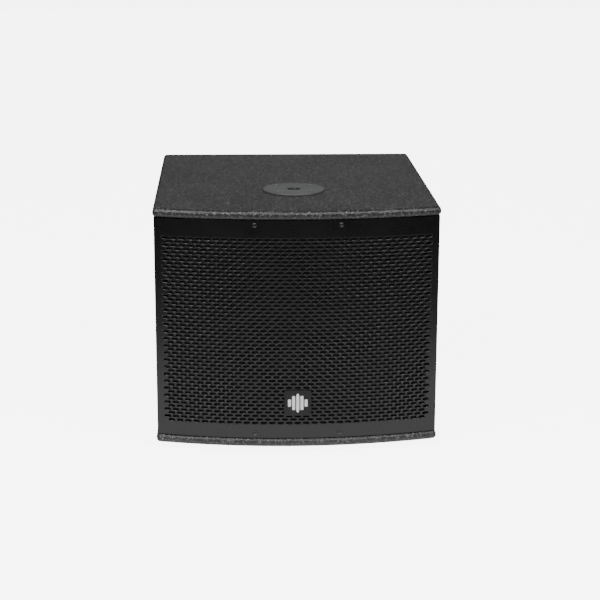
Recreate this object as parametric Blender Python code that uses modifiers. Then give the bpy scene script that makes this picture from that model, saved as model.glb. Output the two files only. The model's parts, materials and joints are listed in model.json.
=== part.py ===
"""A powered bass cabinet for live sound: boards, bowed grille, driver, ports, amplifier and fittings.

Metres, +Z up. The front faces -Y, and the origin is on the floor under the middle of the object.
"""

import math

import bmesh
import bpy
from mathutils import Matrix, Vector

# Cabinet boards
WIDTH = 0.480
DEPTH = 0.572
CABINET_HEIGHT = 0.407
BOARD = 0.015
BOW = 0.034
ROUND_OVER = 0.007
SIDE_SETBACK = 0.002
REAR_RECESS = 0.020
BAFFLE_BOARD = 0.018
BAFFLE_SETBACK = 0.004
BRACE_BORDER = 0.055
BRACE_BEHIND_HANDLES = 0.015

# Clearances
GAP = 0.0003
RUNNING = 0.0004

# Feet
FOOT_RADIUS = 0.016
FOOT_HEIGHT = 0.010
FOOT_FROM_EDGE = 0.045

# Grille and its fittings
GRILLE_SHEET = 0.0015
GRILLE_SETBACK = 0.003
GRILLE_RETURN = 0.014
GRILLE_END_GAP = 0.0008
FOAM = 0.005
FOAM_FROM_SIDE = 0.024
BATTEN = 0.015
BATTEN_FROM_SIDE = 0.030
GRILLE_SCREW_X = 0.071
GRILLE_SCREW_IN = 0.0078
SCREW_SHANK = 0.0017
SCREW_LENGTH = 0.014
SCREW_HEAD = 0.0040
SCREW_HEAD_HEIGHT = 0.0020
BADGE_SIDE = 0.045
BADGE_PLATE = 0.0022
BADGE_EDGE = 0.0005
BADGE_UP = 0.0635

# Stand flange with its M20 thread
FLANGE_RADIUS = 0.054
FLANGE_PLATE = 0.003
FLANGE_FROM_CORNER = 0.154
THREAD_RADIUS = 0.010
THREAD_CHAMFER = 0.004
BOSS_RADIUS = 0.017
BOSS_LENGTH = 0.030
FLANGE_SCREW_CIRCLE = 0.041
COUNTERSINK_RADIUS = 0.0052
COUNTERSINK_DEPTH = 0.0024

# Recessed side handles
HANDLE_LENGTH = 0.150
HANDLE_HEIGHT = 0.092
HANDLE_FLANGE = 0.002
HANDLE_PROUD = 0.0005
POCKET_LENGTH = 0.118
POCKET_HEIGHT = 0.060
POCKET_DEPTH = 0.052
POCKET_WALL = 0.0025
HANDLE_Y = -0.020
HANDLE_UP = 0.235

# Bass ports
PORT_RADIUS = 0.035
PORT_WALL = 0.003
PORT_LENGTH = 0.150
PORT_FLARE = 0.006
PORT_RIM = 0.002
PORT_FLANGE = 0.003
PORT_FROM_SIDE = 0.005
PORT_FROM_BATTEN = 0.003

# Loudspeaker driver, about its own axis
DRIVER_RADIUS = 0.156
DRIVER_RIM = 0.0155
DRIVER_FLANGE = 0.006
DRIVER_GASKET = 0.003
DRIVER_FROM_BATTEN = 0.0015
BASKET_WALL = 0.0035
SHELF_WIDTH = 0.015
SHELF_DEPTH = 0.062
SEAT_BEYOND_STEEL = 0.011
SEAT_DEPTH = 0.084
THROAT_DEPTH = 0.010
BASKET_WINDOWS = 6
WINDOW_WIDTH = 0.062
WINDOW_SHARE = 0.72
CONE_DEPTH = 0.060
CONE_PAPER = 0.0015
ROLL_RADIUS = 0.011
ROLL_SKIN = 0.0010
ROLL_FREE = 0.00325
SURROUND_INNER_FOOT = 0.008
SURROUND_OUTER_FOOT = 0.003
CAP_OVERHANG = 0.0095
CAP_RISE = 0.014
COIL_RADIUS = 0.0385
COIL_WALL = 0.0013
COIL_LENGTH = 0.053
COIL_IN_NECK = 0.003
MAGNET_RADIUS = 0.078
MAGNET_FROM_COIL = 0.0102
MAGNET_HEIGHT = 0.025
TOP_PLATE = 0.008
BACK_PLATE = 0.010
STEEL_INSIDE_MAGNET = 0.008
AIR_GAP = 0.0015
SPIDER_WAVES = 3
SPIDER_WAVE_HEIGHT = 0.0022

# Amplifier
AMP_WIDTH = 0.260
AMP_HEIGHT = 0.320
AMP_PLATE = 0.0025
AMP_LEDGE = 0.012
TRAY_DEPTH = 0.095
TRAY_WALL = 0.0015
TRAY_PLAY = 0.003
SINK_WIDTH = 0.210
SINK_HEIGHT = 0.075
SINK_DEPTH = 0.0155
SINK_BASE = 0.003
SINK_FIN = 0.0018
SINK_FINS = 17
SINK_FROM_TOP = 0.014
CONTROL_ROW_DOWN = 0.116
SOCKET_ROW_DOWN = 0.176
MAINS_ROW_DOWN = 0.262
BOARD_WIDTH = 0.190
BOARD_HEIGHT = 0.120
BOARD_SHEET = 0.0016
BOARD_BEHIND_PLATE = 0.042
PILLAR_RADIUS = 0.003
PILLAR_IN = 0.008
CAPACITOR_RADIUS = 0.015
CAPACITOR_HEIGHT = 0.036
CAPACITOR_XS = (-0.060, -0.020)
CAPACITOR_UP = 0.025
POWER_ROW_SIZE = (0.080, 0.010, 0.020)
POWER_ROW_X = 0.045
POWER_ROW_DOWN = 0.030
COIL_CORE_RADIUS = 0.045
COIL_CORE_BORE = 0.018
COIL_CORE_HEIGHT = 0.040

# Controls and sockets, placed along the amplifier plate
LEVEL_X = 0.090
CROSSOVER_X = 0.045
PHASE_X = 0.000
GROUND_X = -0.040
LAMP_X = -0.085
INPUT_XS = {"left": 0.090, "right": 0.052}
OUTPUT_XS = {"left": 0.004, "right": -0.034}
ROCKER_X = 0.060
INLET_X = -0.060
KNOB_RADIUS = 0.0080
KNOB_HEIGHT = 0.0130
SHAFT_RADIUS = 0.003
SHAFT_LENGTH = 0.010
POINTER_WIDTH = 0.0012
COLLAR = 0.002
SLIDER_TRAVEL = 0.004
SLIDER_SIDE = 0.003
SLIDER_HEIGHT = 0.004
BUTTON_RADIUS = 0.003
BUTTON_HEIGHT = 0.0045
BUTTON_TRAVEL = 0.0025
LAMP_RADIUS = 0.0025
SOCKET_WIDTH = 0.026
SOCKET_HEIGHT = 0.034
SOCKET_FLANGE = 0.002
SOCKET_BARREL = 0.0115
SOCKET_BORE = 0.0095
SOCKET_DEPTH = 0.020
SOCKET_FLOOR = 0.003
INSERT_RADIUS = 0.0072
PIN_RADIUS = 0.0012
PIN_CIRCLE = 0.0045
LATCH_WIDTH = 0.0075
LATCH_HEIGHT = 0.0030
LATCH_LENGTH = 0.009
LATCH_PROUD = 0.0025
LATCH_UP = 0.0139
ROCKER_WIDTH = 0.0145
ROCKER_REACH = 0.0118
ROCKER_TILT = math.radians(12)
ROCKER_SKIRT = math.radians(24)
ROCKER_RISE = math.radians(22)
ROCKER_DISH = 0.22
ROCKER_WALL = 0.0016
ROCKER_PIVOT_OUT = 0.0010
ROCKER_BODY_DEPTH = 0.018
ROCKER_RIM = 0.0025
ROCKER_BEZEL = 0.0015
INLET_WIDTH = 0.050
INLET_HEIGHT = 0.036
INLET_FLANGE = 0.002
INLET_BODY_DEPTH = 0.026
INLET_BODY_WALL = 0.002
RECESS_WIDTH = 0.0245
RECESS_HEIGHT = 0.0165
RECESS_DEPTH = 0.0160
RECESS_UP = 0.0050
BLADE_WIDTH = 0.0020
BLADE_HEIGHT = 0.0040
BLADE_LENGTH = 0.0130
BLADE_SPREAD = 0.0070
BLADE_ROOT = 0.001
DRAWER_WIDTH = 0.020
DRAWER_HEIGHT = 0.0064
DRAWER_DEPTH = 0.022
DRAWER_DOWN = 0.0100
DRAWER_LIP = 0.0020
LEAD_RADIUS = 0.0028
LEAD_EXIT_X = 0.060
LEAD_EXIT_DOWN = 0.060
LEAD_LEAVES = (0.004, -0.045, -0.006)
LEAD_SAGS = (0.022, 0.0, -0.030)
LEAD_ARRIVES = (0.040, 0.016, -0.020)
LEAD_STRAIGHT = 0.020

# How finely round things are cut
BOW_STEPS = 20
ROUND_STEPS = 3
WIDE_STEPS = 32
DRIVER_STEPS = 28
SMALL_STEPS = 16
SCREW_STEPS = 12
PIN_STEPS = 8

# Angles past which an edge counts as sharp, and distances within which points are one
SHADED_SHARP = math.radians(35)
CUT_SHARP = math.radians(40)
WELD = 0.000001
AXIS_WELD = 0.00001
FLAT = 0.001

# Directions a turned piece can point its own +Z
FORWARD = (math.radians(90), 0, 0)
BACKWARD = (math.radians(-90), 0, 0)
UPWARD = (0, 0, 0)

# Planes and centres that follow from the sizes
FRONT_Y = -DEPTH / 2
BACK_Y = DEPTH / 2
BASE_Z = FOOT_HEIGHT
INNER_BOTTOM = BASE_Z + BOARD
INNER_TOP = BASE_Z + CABINET_HEIGHT - BOARD
TOP_Z = BASE_Z + CABINET_HEIGHT
INNER_MIDDLE = (INNER_BOTTOM + INNER_TOP) / 2
HALF_SPAN = WIDTH / 2 - SIDE_SETBACK
INNER_HALF = HALF_SPAN - BOARD
BOW_RADIUS = (WIDTH**2 / 4 + BOW**2) / (2 * BOW)


def bow_y(x, inset=0.0):
    """Where a surface that follows the bow, this far behind the boards' front edge, is at x."""
    return FRONT_Y + BOW_RADIUS - math.sqrt((BOW_RADIUS - inset) ** 2 - x**2)


SIDE_FRONT = bow_y(HALF_SPAN, GRILLE_SETBACK) + GRILLE_RETURN + GAP
BAFFLE_FRONT = SIDE_FRONT + BAFFLE_SETBACK
BAFFLE_BACK = BAFFLE_FRONT + BAFFLE_BOARD
REAR_FACE = BACK_Y - REAR_RECESS
PLATE_FACE = REAR_FACE + GAP + AMP_PLATE
PLATE_BACK = REAR_FACE + GAP
AMP_TOP = INNER_MIDDLE + AMP_HEIGHT / 2
CONTROL_Z = AMP_TOP - CONTROL_ROW_DOWN
SOCKET_Z = AMP_TOP - SOCKET_ROW_DOWN
MAINS_Z = AMP_TOP - MAINS_ROW_DOWN
TRAY_FRONT = PLATE_BACK - GAP - TRAY_DEPTH
DRIVER_Z = INNER_TOP - GAP - BATTEN - DRIVER_FROM_BATTEN - DRIVER_RADIUS
FLANGE_Y = FRONT_Y + BOW + FLANGE_FROM_CORNER
PORT_OUTER = PORT_RADIUS + PORT_FLARE + PORT_RIM
PORT_X = INNER_HALF - PORT_FROM_SIDE - PORT_OUTER
PORT_Z = INNER_BOTTOM + GAP + BATTEN + PORT_FROM_BATTEN + PORT_OUTER
HANDLE_Z = INNER_BOTTOM + HANDLE_UP
BASKET_MOUTH = DRIVER_RADIUS - DRIVER_RIM
BASKET_THROAT = BASKET_MOUTH - 1.5 * BASKET_WALL
CONE_RADIUS = BASKET_THROAT - ROLL_FREE - 2 * ROLL_RADIUS
STEEL_RADIUS = MAGNET_RADIUS - STEEL_INSIDE_MAGNET
SEAT_RADIUS = STEEL_RADIUS + SEAT_BEYOND_STEEL
SHELF_RADIUS = SEAT_RADIUS + SHELF_WIDTH
MAGNET_BORE = COIL_RADIUS + COIL_WALL + MAGNET_FROM_COIL
CAP_RADIUS = COIL_RADIUS + CAP_OVERHANG
BRACE_Y = HANDLE_Y + HANDLE_LENGTH / 2 + BRACE_BEHIND_HANDLES
PIVOT_Y = PLATE_FACE + GAP + ROCKER_PIVOT_OUT


# Materials: base colour, roughness, metallic
PAINT = ((0.050, 0.050, 0.052), 0.75, 0.0)
GRILLE_BLACK = ((0.018, 0.018, 0.019), 0.45, 0.6)
WOOD = ((0.45, 0.33, 0.20), 0.8, 0.0)
FOAM_BLACK = ((0.012, 0.012, 0.012), 0.95, 0.0)
FLANGE_GREY = ((0.13, 0.13, 0.135), 0.5, 0.7)
SCREW_BLACK = ((0.04, 0.04, 0.042), 0.35, 0.9)
BADGE_BLACK = ((0.045, 0.045, 0.047), 0.35, 0.0)
RUBBER = ((0.02, 0.02, 0.02), 0.85, 0.0)
PLASTIC = ((0.03, 0.03, 0.032), 0.5, 0.0)
CAST = ((0.05, 0.05, 0.055), 0.5, 0.8)
PAPER = ((0.03, 0.03, 0.03), 0.9, 0.0)
CLOTH = ((0.42, 0.28, 0.10), 0.9, 0.0)
FERRITE = ((0.06, 0.06, 0.065), 0.6, 0.2)
STEEL = ((0.55, 0.56, 0.58), 0.35, 1.0)
COPPER = ((0.72, 0.40, 0.22), 0.35, 1.0)
CIRCUIT = ((0.02, 0.16, 0.06), 0.5, 0.0)
AMP_BLACK = ((0.022, 0.022, 0.024), 0.45, 0.3)
LAMP_GREEN = ((0.10, 0.75, 0.20), 0.2, 0.0)
WINDING = ((0.70, 0.55, 0.12), 0.5, 0.0)

PARTS = None
CUTTERS = None


def start_scene():
    """Removes what is in the scene and makes the two collections."""
    global PARTS, CUTTERS
    for obj in list(bpy.data.objects):
        bpy.data.objects.remove(obj, do_unlink=True)
    PARTS = bpy.data.collections.new("subwoofer_cabinet")
    CUTTERS = bpy.data.collections.new("cutters")
    bpy.context.scene.collection.children.link(PARTS)
    bpy.context.scene.collection.children.link(CUTTERS)


def paint(obj, look):
    """Gives the object its own material."""
    colour, roughness, metallic = look
    material = bpy.data.materials.new(obj.name + "_finish")
    material.use_nodes = True
    shader = material.node_tree.nodes["Principled BSDF"]
    shader.inputs["Base Color"].default_value = (*colour, 1)
    shader.inputs["Roughness"].default_value = roughness
    shader.inputs["Metallic"].default_value = metallic
    material.diffuse_color = (*colour, 1)
    obj.data.materials.append(material)
    return obj


def from_bmesh(name, bm):
    """A linked object that holds the bmesh, smooth where its faces meet gently."""
    mesh = bpy.data.meshes.new(name)
    bm.to_mesh(mesh)
    bm.free()
    mesh.shade_smooth()
    mesh.set_sharp_from_angle(angle=SHADED_SHARP)
    obj = bpy.data.objects.new(name, mesh)
    PARTS.objects.link(obj)
    return obj


def box(name, size, centre):
    bm = bmesh.new()
    bmesh.ops.create_cube(bm, size=1, matrix=Matrix.Diagonal((*size, 1)))
    obj = from_bmesh(name, bm)
    obj.location = centre
    return obj


def span_box(name, one, other):
    """A box between two opposite corners, in either order."""
    one, other = Vector(one), Vector(other)
    size = [abs(b - a) for a, b in zip(one, other)]
    return box(name, size, (one + other) / 2)


def rod(name, radius, length, centre, turn=UPWARD, steps=SMALL_STEPS):
    bm = bmesh.new()
    bmesh.ops.create_cone(
        bm, cap_ends=True, segments=steps, radius1=radius, radius2=radius, depth=length
    )
    obj = from_bmesh(name, bm)
    obj.location = centre
    obj.rotation_euler = turn
    return obj


def turned(name, profile, centre, turn, steps=WIDE_STEPS):
    """A profile of (radius, height) points turned about the piece's own Z.

    The points run outwards along the top, down the outer side and back inwards. A profile that
    neither starts nor ends on the axis is a ring, and is closed.
    """
    bm = bmesh.new()
    verts = [bm.verts.new((radius, 0, height)) for radius, height in profile]
    for a, b in zip(verts, verts[1:]):
        bm.edges.new((a, b))
    if profile[0][0] > 0:
        bm.edges.new((verts[-1], verts[0]))
    obj = from_bmesh(name, bm)
    screw = obj.modifiers.new("turn", "SCREW")
    screw.steps = screw.render_steps = steps
    screw.use_merge_vertices = True
    screw.merge_threshold = AXIS_WELD
    screw.use_smooth_shade = True
    obj.location = centre
    obj.rotation_euler = turn
    return obj


def extruded(name, outline, low_z, high_z):
    """A flat outline in X and Y, filled and raised from one height to the other."""
    curve = bpy.data.curves.new(name, "CURVE")
    curve.dimensions = "2D"
    curve.fill_mode = "BOTH"
    curve.extrude = (high_z - low_z) / 2
    spline = curve.splines.new("POLY")
    spline.points.add(len(outline) - 1)
    for point, (x, y) in zip(spline.points, outline):
        point.co = (x, y, 0, 1)
    spline.use_cyclic_u = True
    guide = bpy.data.objects.new(name + "_outline", curve)
    PARTS.objects.link(guide)
    guide.location.z = (low_z + high_z) / 2
    return as_mesh(guide, name)


def as_mesh(curve_object, name):
    """Turns the curve into a mesh with its caps welded and flat, so that it can be cut."""
    bpy.context.view_layer.update()
    graph = bpy.context.evaluated_depsgraph_get()
    mesh = bpy.data.meshes.new_from_object(curve_object.evaluated_get(graph))
    place = curve_object.matrix_world.copy()
    bm = bmesh.new()
    bm.from_mesh(mesh)
    bmesh.ops.remove_doubles(bm, verts=bm.verts, dist=WELD)
    bmesh.ops.dissolve_limit(bm, angle_limit=FLAT, verts=bm.verts, edges=bm.edges)
    bmesh.ops.recalc_face_normals(bm, faces=bm.faces)
    bpy.data.meshes.remove(mesh)
    bpy.data.objects.remove(curve_object)
    obj = from_bmesh(name, bm)
    obj.matrix_world = place
    return obj


def apply_boolean(obj, other, operation):
    """Cuts or joins with another object, which is then only a helper."""
    PARTS.objects.unlink(other)
    CUTTERS.objects.link(other)
    other.hide_render = True
    other.display_type = "WIRE"
    modifier = obj.modifiers.new(other.name, "BOOLEAN")
    modifier.operation = operation
    modifier.solver = "EXACT"
    modifier.object = other


def cut(obj, *others):
    for other in others:
        apply_boolean(obj, other, "DIFFERENCE")
    return obj


def join(obj, *others):
    for other in others:
        apply_boolean(obj, other, "UNION")
    return obj


def bevel(obj, width, segments=1):
    """Breaks every sharp edge of the piece."""
    modifier = obj.modifiers.new("edges", "BEVEL")
    modifier.width = width
    modifier.segments = segments
    modifier.limit_method = "ANGLE"
    modifier.angle_limit = CUT_SHARP
    return obj


def round_some_edges(obj, radius, wanted):
    """Rounds the sharp edges whose two ends, in the piece's own frame, pass the test."""
    bm = bmesh.new()
    bm.from_mesh(obj.data)
    weight = bm.edges.layers.float.new("bevel_weight_edge")
    for edge in bm.edges:
        ends = [vert.co for vert in edge.verts]
        if edge.calc_face_angle(0) > CUT_SHARP and wanted(*ends):
            edge[weight] = 1.0
    bm.to_mesh(obj.data)
    bm.free()
    modifier = obj.modifiers.new("round_over", "BEVEL")
    modifier.width = radius
    modifier.segments = ROUND_STEPS
    modifier.limit_method = "WEIGHT"
    return obj


def bow_points(half, inset, steps=BOW_STEPS):
    """Points along the bow from left to right, this far behind the boards' front edge."""
    xs = [half * (2 * i / steps - 1) for i in range(steps + 1)]
    return [(x, bow_y(x, inset)) for x in xs]


# Boards


def end_board(name, low_z):
    """A top or bottom board: bowed at the front and rounded at every outer edge."""
    outline = bow_points(WIDTH / 2, 0) + [(WIDTH / 2, BACK_Y), (-WIDTH / 2, BACK_Y)]
    board = extruded(name, outline, low_z, low_z + BOARD)
    return round_some_edges(board, ROUND_OVER, lambda a, b: True)


def make_top_panel():
    board = end_board("top_panel", TOP_Z - BOARD)
    middle = TOP_Z - BOARD / 2
    boss_place = (0, FLANGE_Y, middle)
    cut(board, rod("boss_hole", BOSS_RADIUS + GAP, 2 * BOARD, boss_place, steps=WIDE_STEPS))
    for number, (x, y) in enumerate(flange_screw_places(), 1):
        name = f"flange_pilot_{number}"
        cut(board, rod(name, SCREW_SHANK + GAP, 2 * BOARD, (x, y, middle), steps=SCREW_STEPS))
    paint(board, PAINT)


def make_bottom_panel():
    paint(end_board("bottom_panel", BASE_Z), PAINT)


def make_side_panel(side, sign):
    """A side board, rounded down its outer rear edge, with the handle's opening and rebate."""
    outer, inner = sign * HALF_SPAN, sign * INNER_HALF
    low = (inner, SIDE_FRONT, INNER_BOTTOM + GAP)
    high = (outer, BACK_Y, INNER_TOP - GAP)
    board = span_box(f"{side}_side_panel", low, high)
    round_some_edges(
        board, ROUND_OVER, lambda a, b: min(a.y, b.y) > 0 and min(sign * a.x, sign * b.x) > 0
    )
    play = 2 * GAP
    opening = (
        4 * BOARD,
        POCKET_LENGTH + 2 * POCKET_WALL + play,
        POCKET_HEIGHT + 2 * POCKET_WALL + play,
    )
    rebate_depth = HANDLE_FLANGE - HANDLE_PROUD + GAP
    rebate = (2 * rebate_depth, HANDLE_LENGTH + play, HANDLE_HEIGHT + play)
    cut(board, box(f"{side}_handle_opening", opening, (outer, HANDLE_Y, HANDLE_Z)))
    cut(board, box(f"{side}_handle_rebate", rebate, (outer, HANDLE_Y, HANDLE_Z)))
    paint(board, PAINT)


def make_rear_panel():
    low = (-INNER_HALF + GAP, REAR_FACE - BOARD, INNER_BOTTOM + GAP)
    high = (INNER_HALF - GAP, REAR_FACE, INNER_TOP - GAP)
    board = span_box("rear_panel", low, high)
    opening = (AMP_WIDTH - 2 * AMP_LEDGE, 4 * BOARD, AMP_HEIGHT - 2 * AMP_LEDGE)
    cut(board, box("amp_opening", opening, (0, REAR_FACE, INNER_MIDDLE)))
    paint(board, PAINT)


def make_baffle():
    low = (-INNER_HALF + GAP, BAFFLE_FRONT, INNER_BOTTOM + GAP)
    high = (INNER_HALF - GAP, BAFFLE_BACK, INNER_TOP - GAP)
    board = span_box("baffle", low, high)
    through = 4 * BAFFLE_BOARD
    driver_hole = rod(
        "driver_hole", BASKET_MOUTH + GAP, through, (0, BAFFLE_FRONT, DRIVER_Z), FORWARD, DRIVER_STEPS
    )
    cut(board, driver_hole)
    for side, sign in (("left", -1), ("right", 1)):
        place = (sign * PORT_X, BAFFLE_FRONT, PORT_Z)
        radius = PORT_RADIUS + PORT_WALL + GAP
        cut(board, rod(f"{side}_port_hole", radius, through, place, FORWARD, WIDE_STEPS))
    paint(board, PAINT)


def make_window_brace():
    """A ring of board inside the cabinet, with one large window."""
    low = Vector((-INNER_HALF + GAP, BRACE_Y, INNER_BOTTOM + GAP))
    high = Vector((INNER_HALF - GAP, BRACE_Y + BOARD, INNER_TOP - GAP))
    board = span_box("window_brace", low, high)
    border = Vector((BRACE_BORDER, -BOARD, BRACE_BORDER))
    cut(board, span_box("brace_window", low + border, high - border))
    paint(board, WOOD)


def make_feet():
    profile = [
        (0, -GAP),
        (FOOT_RADIUS, -GAP),
        (FOOT_RADIUS, -FOOT_HEIGHT * 0.4),
        (FOOT_RADIUS * 0.85, -FOOT_HEIGHT),
        (0, -FOOT_HEIGHT),
    ]
    x = WIDTH / 2 - FOOT_FROM_EDGE
    rows = {"front": FRONT_Y + BOW + FOOT_FROM_EDGE, "rear": BACK_Y - FOOT_FROM_EDGE}
    for row, y in rows.items():
        for side, sign in (("left", -1), ("right", 1)):
            foot = turned(f"foot_{row}_{side}", profile, (sign * x, y, BASE_Z), UPWARD, SMALL_STEPS)
            paint(foot, RUBBER)


# Grille


def grille_screw_places():
    """Each screw's x, height and turn about Z, on the grille's face."""
    inset = GRILLE_END_GAP + GRILLE_SCREW_IN
    for z in (INNER_TOP - inset, INNER_BOTTOM + inset):
        for x in (-GRILLE_SCREW_X, GRILLE_SCREW_X):
            turn = math.asin(x / (BOW_RADIUS - GRILLE_SETBACK))
            yield x, z, turn


def grille_screw_holes(owner):
    """Cutters along the four grille screws, named after the piece that they cut."""
    for number, (x, z, turn) in enumerate(grille_screw_places(), 1):
        yield rod(
            f"{owner}_screw_hole_{number}",
            SCREW_SHANK + GAP,
            4 * SCREW_LENGTH,
            (x, bow_y(x, GRILLE_SETBACK), z),
            (math.radians(90), 0, turn),
            SCREW_STEPS,
        )


def make_grille():
    """A bowed sheet with a return folded back at each side."""
    back = SIDE_FRONT - GAP
    outer = bow_points(HALF_SPAN, GRILLE_SETBACK)
    inner_half = HALF_SPAN - GRILLE_SHEET
    inner = bow_points(inner_half, GRILLE_SETBACK + GRILLE_SHEET)
    outline = (
        outer
        + [(HALF_SPAN, back), (inner_half, back)]
        + inner[::-1]
        + [(-inner_half, back), (-HALF_SPAN, back)]
    )
    sheet = extruded("grille", outline, INNER_BOTTOM + GRILLE_END_GAP, INNER_TOP - GRILLE_END_GAP)
    cut(sheet, *grille_screw_holes("grille"))
    paint(sheet, GRILLE_BLACK)


def make_grille_foam():
    """A bowed sheet of open foam between the battens."""
    half = HALF_SPAN - FOAM_FROM_SIDE
    front = GRILLE_SETBACK + GRILLE_SHEET + GAP
    outline = bow_points(half, front) + bow_points(half, front + FOAM)[::-1]
    low_z = INNER_BOTTOM + BATTEN + 2 * GAP
    high_z = INNER_TOP - BATTEN - 2 * GAP
    paint(extruded("grille_foam", outline, low_z, high_z), FOAM_BLACK)


def make_battens():
    """Wooden strips behind the grille's plain bands, which its screws bite into."""
    half = INNER_HALF - BATTEN_FROM_SIDE
    back = BAFFLE_FRONT - GAP
    outline = bow_points(half, GRILLE_SETBACK + GRILLE_SHEET + GAP) + [(half, back), (-half, back)]
    rows = {"top": INNER_TOP - GAP - BATTEN, "bottom": INNER_BOTTOM + GAP}
    for row, low_z in rows.items():
        batten = extruded(f"grille_batten_{row}", outline, low_z, low_z + BATTEN)
        cut(batten, *grille_screw_holes(batten.name))
        paint(batten, PAINT)


def make_grille_screws():
    """Pan-head screws, each standing square to the bowed sheet."""
    profile = [
        (0, SCREW_HEAD_HEIGHT + GAP),
        (SCREW_HEAD * 0.75, SCREW_HEAD_HEIGHT + GAP),
        (SCREW_HEAD, SCREW_HEAD_HEIGHT * 0.4 + GAP),
        (SCREW_HEAD, GAP),
        (SCREW_SHANK, GAP),
        (SCREW_SHANK, -SCREW_LENGTH),
        (0, -SCREW_LENGTH),
    ]
    for number, (x, z, turn) in enumerate(grille_screw_places(), 1):
        place = (x, bow_y(x, GRILLE_SETBACK), z)
        facing = (math.radians(90), 0, turn)
        paint(turned(f"grille_screw_{number}", profile, place, facing, SCREW_STEPS), SCREW_BLACK)


def make_badge():
    y = FRONT_Y + GRILLE_SETBACK - GAP - BADGE_PLATE / 2
    size = (BADGE_SIDE, BADGE_PLATE, BADGE_SIDE)
    badge = box("badge", size, (0, y, INNER_BOTTOM + BADGE_UP))
    paint(bevel(badge, BADGE_EDGE), BADGE_BLACK)


# Stand flange


def flange_screw_places():
    for step in range(4):
        angle = math.radians(45 + 90 * step)
        x = FLANGE_SCREW_CIRCLE * math.cos(angle)
        y = FLANGE_Y + FLANGE_SCREW_CIRCLE * math.sin(angle)
        yield x, y


def make_stand_flange():
    """A round steel plate with a threaded boss that reaches down through the top board.

    It stands GAP above the board, and each screw's head lies GAP below its upper face.
    """
    top = GAP + FLANGE_PLATE
    profile = [
        (THREAD_RADIUS + THREAD_CHAMFER, top),
        (FLANGE_RADIUS - FLANGE_PLATE / 3, top),
        (FLANGE_RADIUS, top - FLANGE_PLATE / 3),
        (FLANGE_RADIUS, GAP),
        (BOSS_RADIUS, GAP),
        (BOSS_RADIUS, -BOSS_LENGTH),
        (THREAD_RADIUS, -BOSS_LENGTH),
        (THREAD_RADIUS, top - FLANGE_PLATE / 2),
    ]
    flange = turned("stand_flange", profile, (0, FLANGE_Y, TOP_Z), UPWARD)
    wide = COUNTERSINK_RADIUS + GAP
    narrow = SCREW_SHANK + GAP
    lip = top - GAP
    countersink = [
        (0, top + FLANGE_PLATE),
        (wide, top + FLANGE_PLATE),
        (wide, lip),
        (narrow, lip - COUNTERSINK_DEPTH),
        (narrow, -FLANGE_PLATE),
        (0, -FLANGE_PLATE),
    ]
    for number, (x, y) in enumerate(flange_screw_places(), 1):
        name = f"flange_countersink_{number}"
        cut(flange, turned(name, countersink, (x, y, TOP_Z), UPWARD, SMALL_STEPS))
    paint(flange, FLANGE_GREY)


def make_flange_screws():
    profile = [
        (0, FLANGE_PLATE),
        (COUNTERSINK_RADIUS, FLANGE_PLATE),
        (SCREW_SHANK, FLANGE_PLATE - COUNTERSINK_DEPTH),
        (SCREW_SHANK, -SCREW_LENGTH),
        (0, -SCREW_LENGTH),
    ]
    for number, (x, y) in enumerate(flange_screw_places(), 1):
        screw = turned(f"flange_screw_{number}", profile, (x, y, TOP_Z), UPWARD, SMALL_STEPS)
        paint(screw, SCREW_BLACK)


# Handles and ports


def make_handle(side, sign):
    """A moulded cup let into the side board, with a flange that fills the rebate."""
    face = HALF_SPAN + HANDLE_PROUD
    floor = face - POCKET_DEPTH

    def block(name, near, far, half_length, half_height):
        """A box from one distance off the middle plane to another, centred on the handle."""
        one = (sign * near, HANDLE_Y - half_length, HANDLE_Z - half_height)
        other = (sign * far, HANDLE_Y + half_length, HANDLE_Z + half_height)
        return span_box(name, one, other)

    flange_back = face - HANDLE_FLANGE
    flange = block(f"handle_{side}", flange_back, face, HANDLE_LENGTH / 2, HANDLE_HEIGHT / 2)
    bevel(flange, HANDLE_FLANGE / 4)
    length, height = POCKET_LENGTH / 2, POCKET_HEIGHT / 2
    cup_top = face - HANDLE_FLANGE / 2
    wall = POCKET_WALL
    join(flange, block(f"{side}_cup", floor - wall, cup_top, length + wall, height + wall))
    cut(flange, block(f"{side}_hollow", floor, face + HANDLE_FLANGE, length, height))
    paint(flange, PLASTIC)


def make_port(side, sign):
    """A moulded tube with a flared mouth and a flange on the baffle's front."""
    outer = PORT_RADIUS + PORT_WALL
    front = GAP + PORT_FLANGE
    flare = []
    for step in range(4):
        angle = math.radians(30 * step)
        radius = PORT_RADIUS + PORT_FLARE * (1 - math.cos(angle))
        flare.append((radius, front - 2 * PORT_FLARE * (1 - math.sin(angle))))
    profile = [
        (PORT_OUTER, front),
        (PORT_OUTER, GAP),
        (outer, GAP),
        (outer, -PORT_LENGTH),
        (PORT_RADIUS, -PORT_LENGTH),
        *flare,
    ]
    place = (sign * PORT_X, BAFFLE_FRONT, PORT_Z)
    paint(turned(f"port_{side}", profile, place, FORWARD), PLASTIC)


# Driver. Heights run forwards from the baffle's front face.


FLANGE_LOW = DRIVER_GASKET + 2 * GAP
FLANGE_TOP = FLANGE_LOW + DRIVER_FLANGE
CONE_EDGE = FLANGE_TOP
NECK_RADIUS = COIL_RADIUS + COIL_WALL + GAP
NECK = CONE_EDGE - CONE_DEPTH
TOP_PLATE_FRONT = -SEAT_DEPTH - GAP
MAGNET_FRONT = TOP_PLATE_FRONT - TOP_PLATE - GAP
BACK_PLATE_FRONT = MAGNET_FRONT - MAGNET_HEIGHT - GAP


def cone_height(radius):
    """Height of the cone's front surface, which bells gently."""
    share = (radius - NECK_RADIUS) / (CONE_RADIUS - NECK_RADIUS)
    return NECK + CONE_DEPTH * share**1.15


def driver_piece(name, profile, look):
    return paint(turned(name, profile, (0, BAFFLE_FRONT, DRIVER_Z), FORWARD, DRIVER_STEPS), look)


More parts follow.
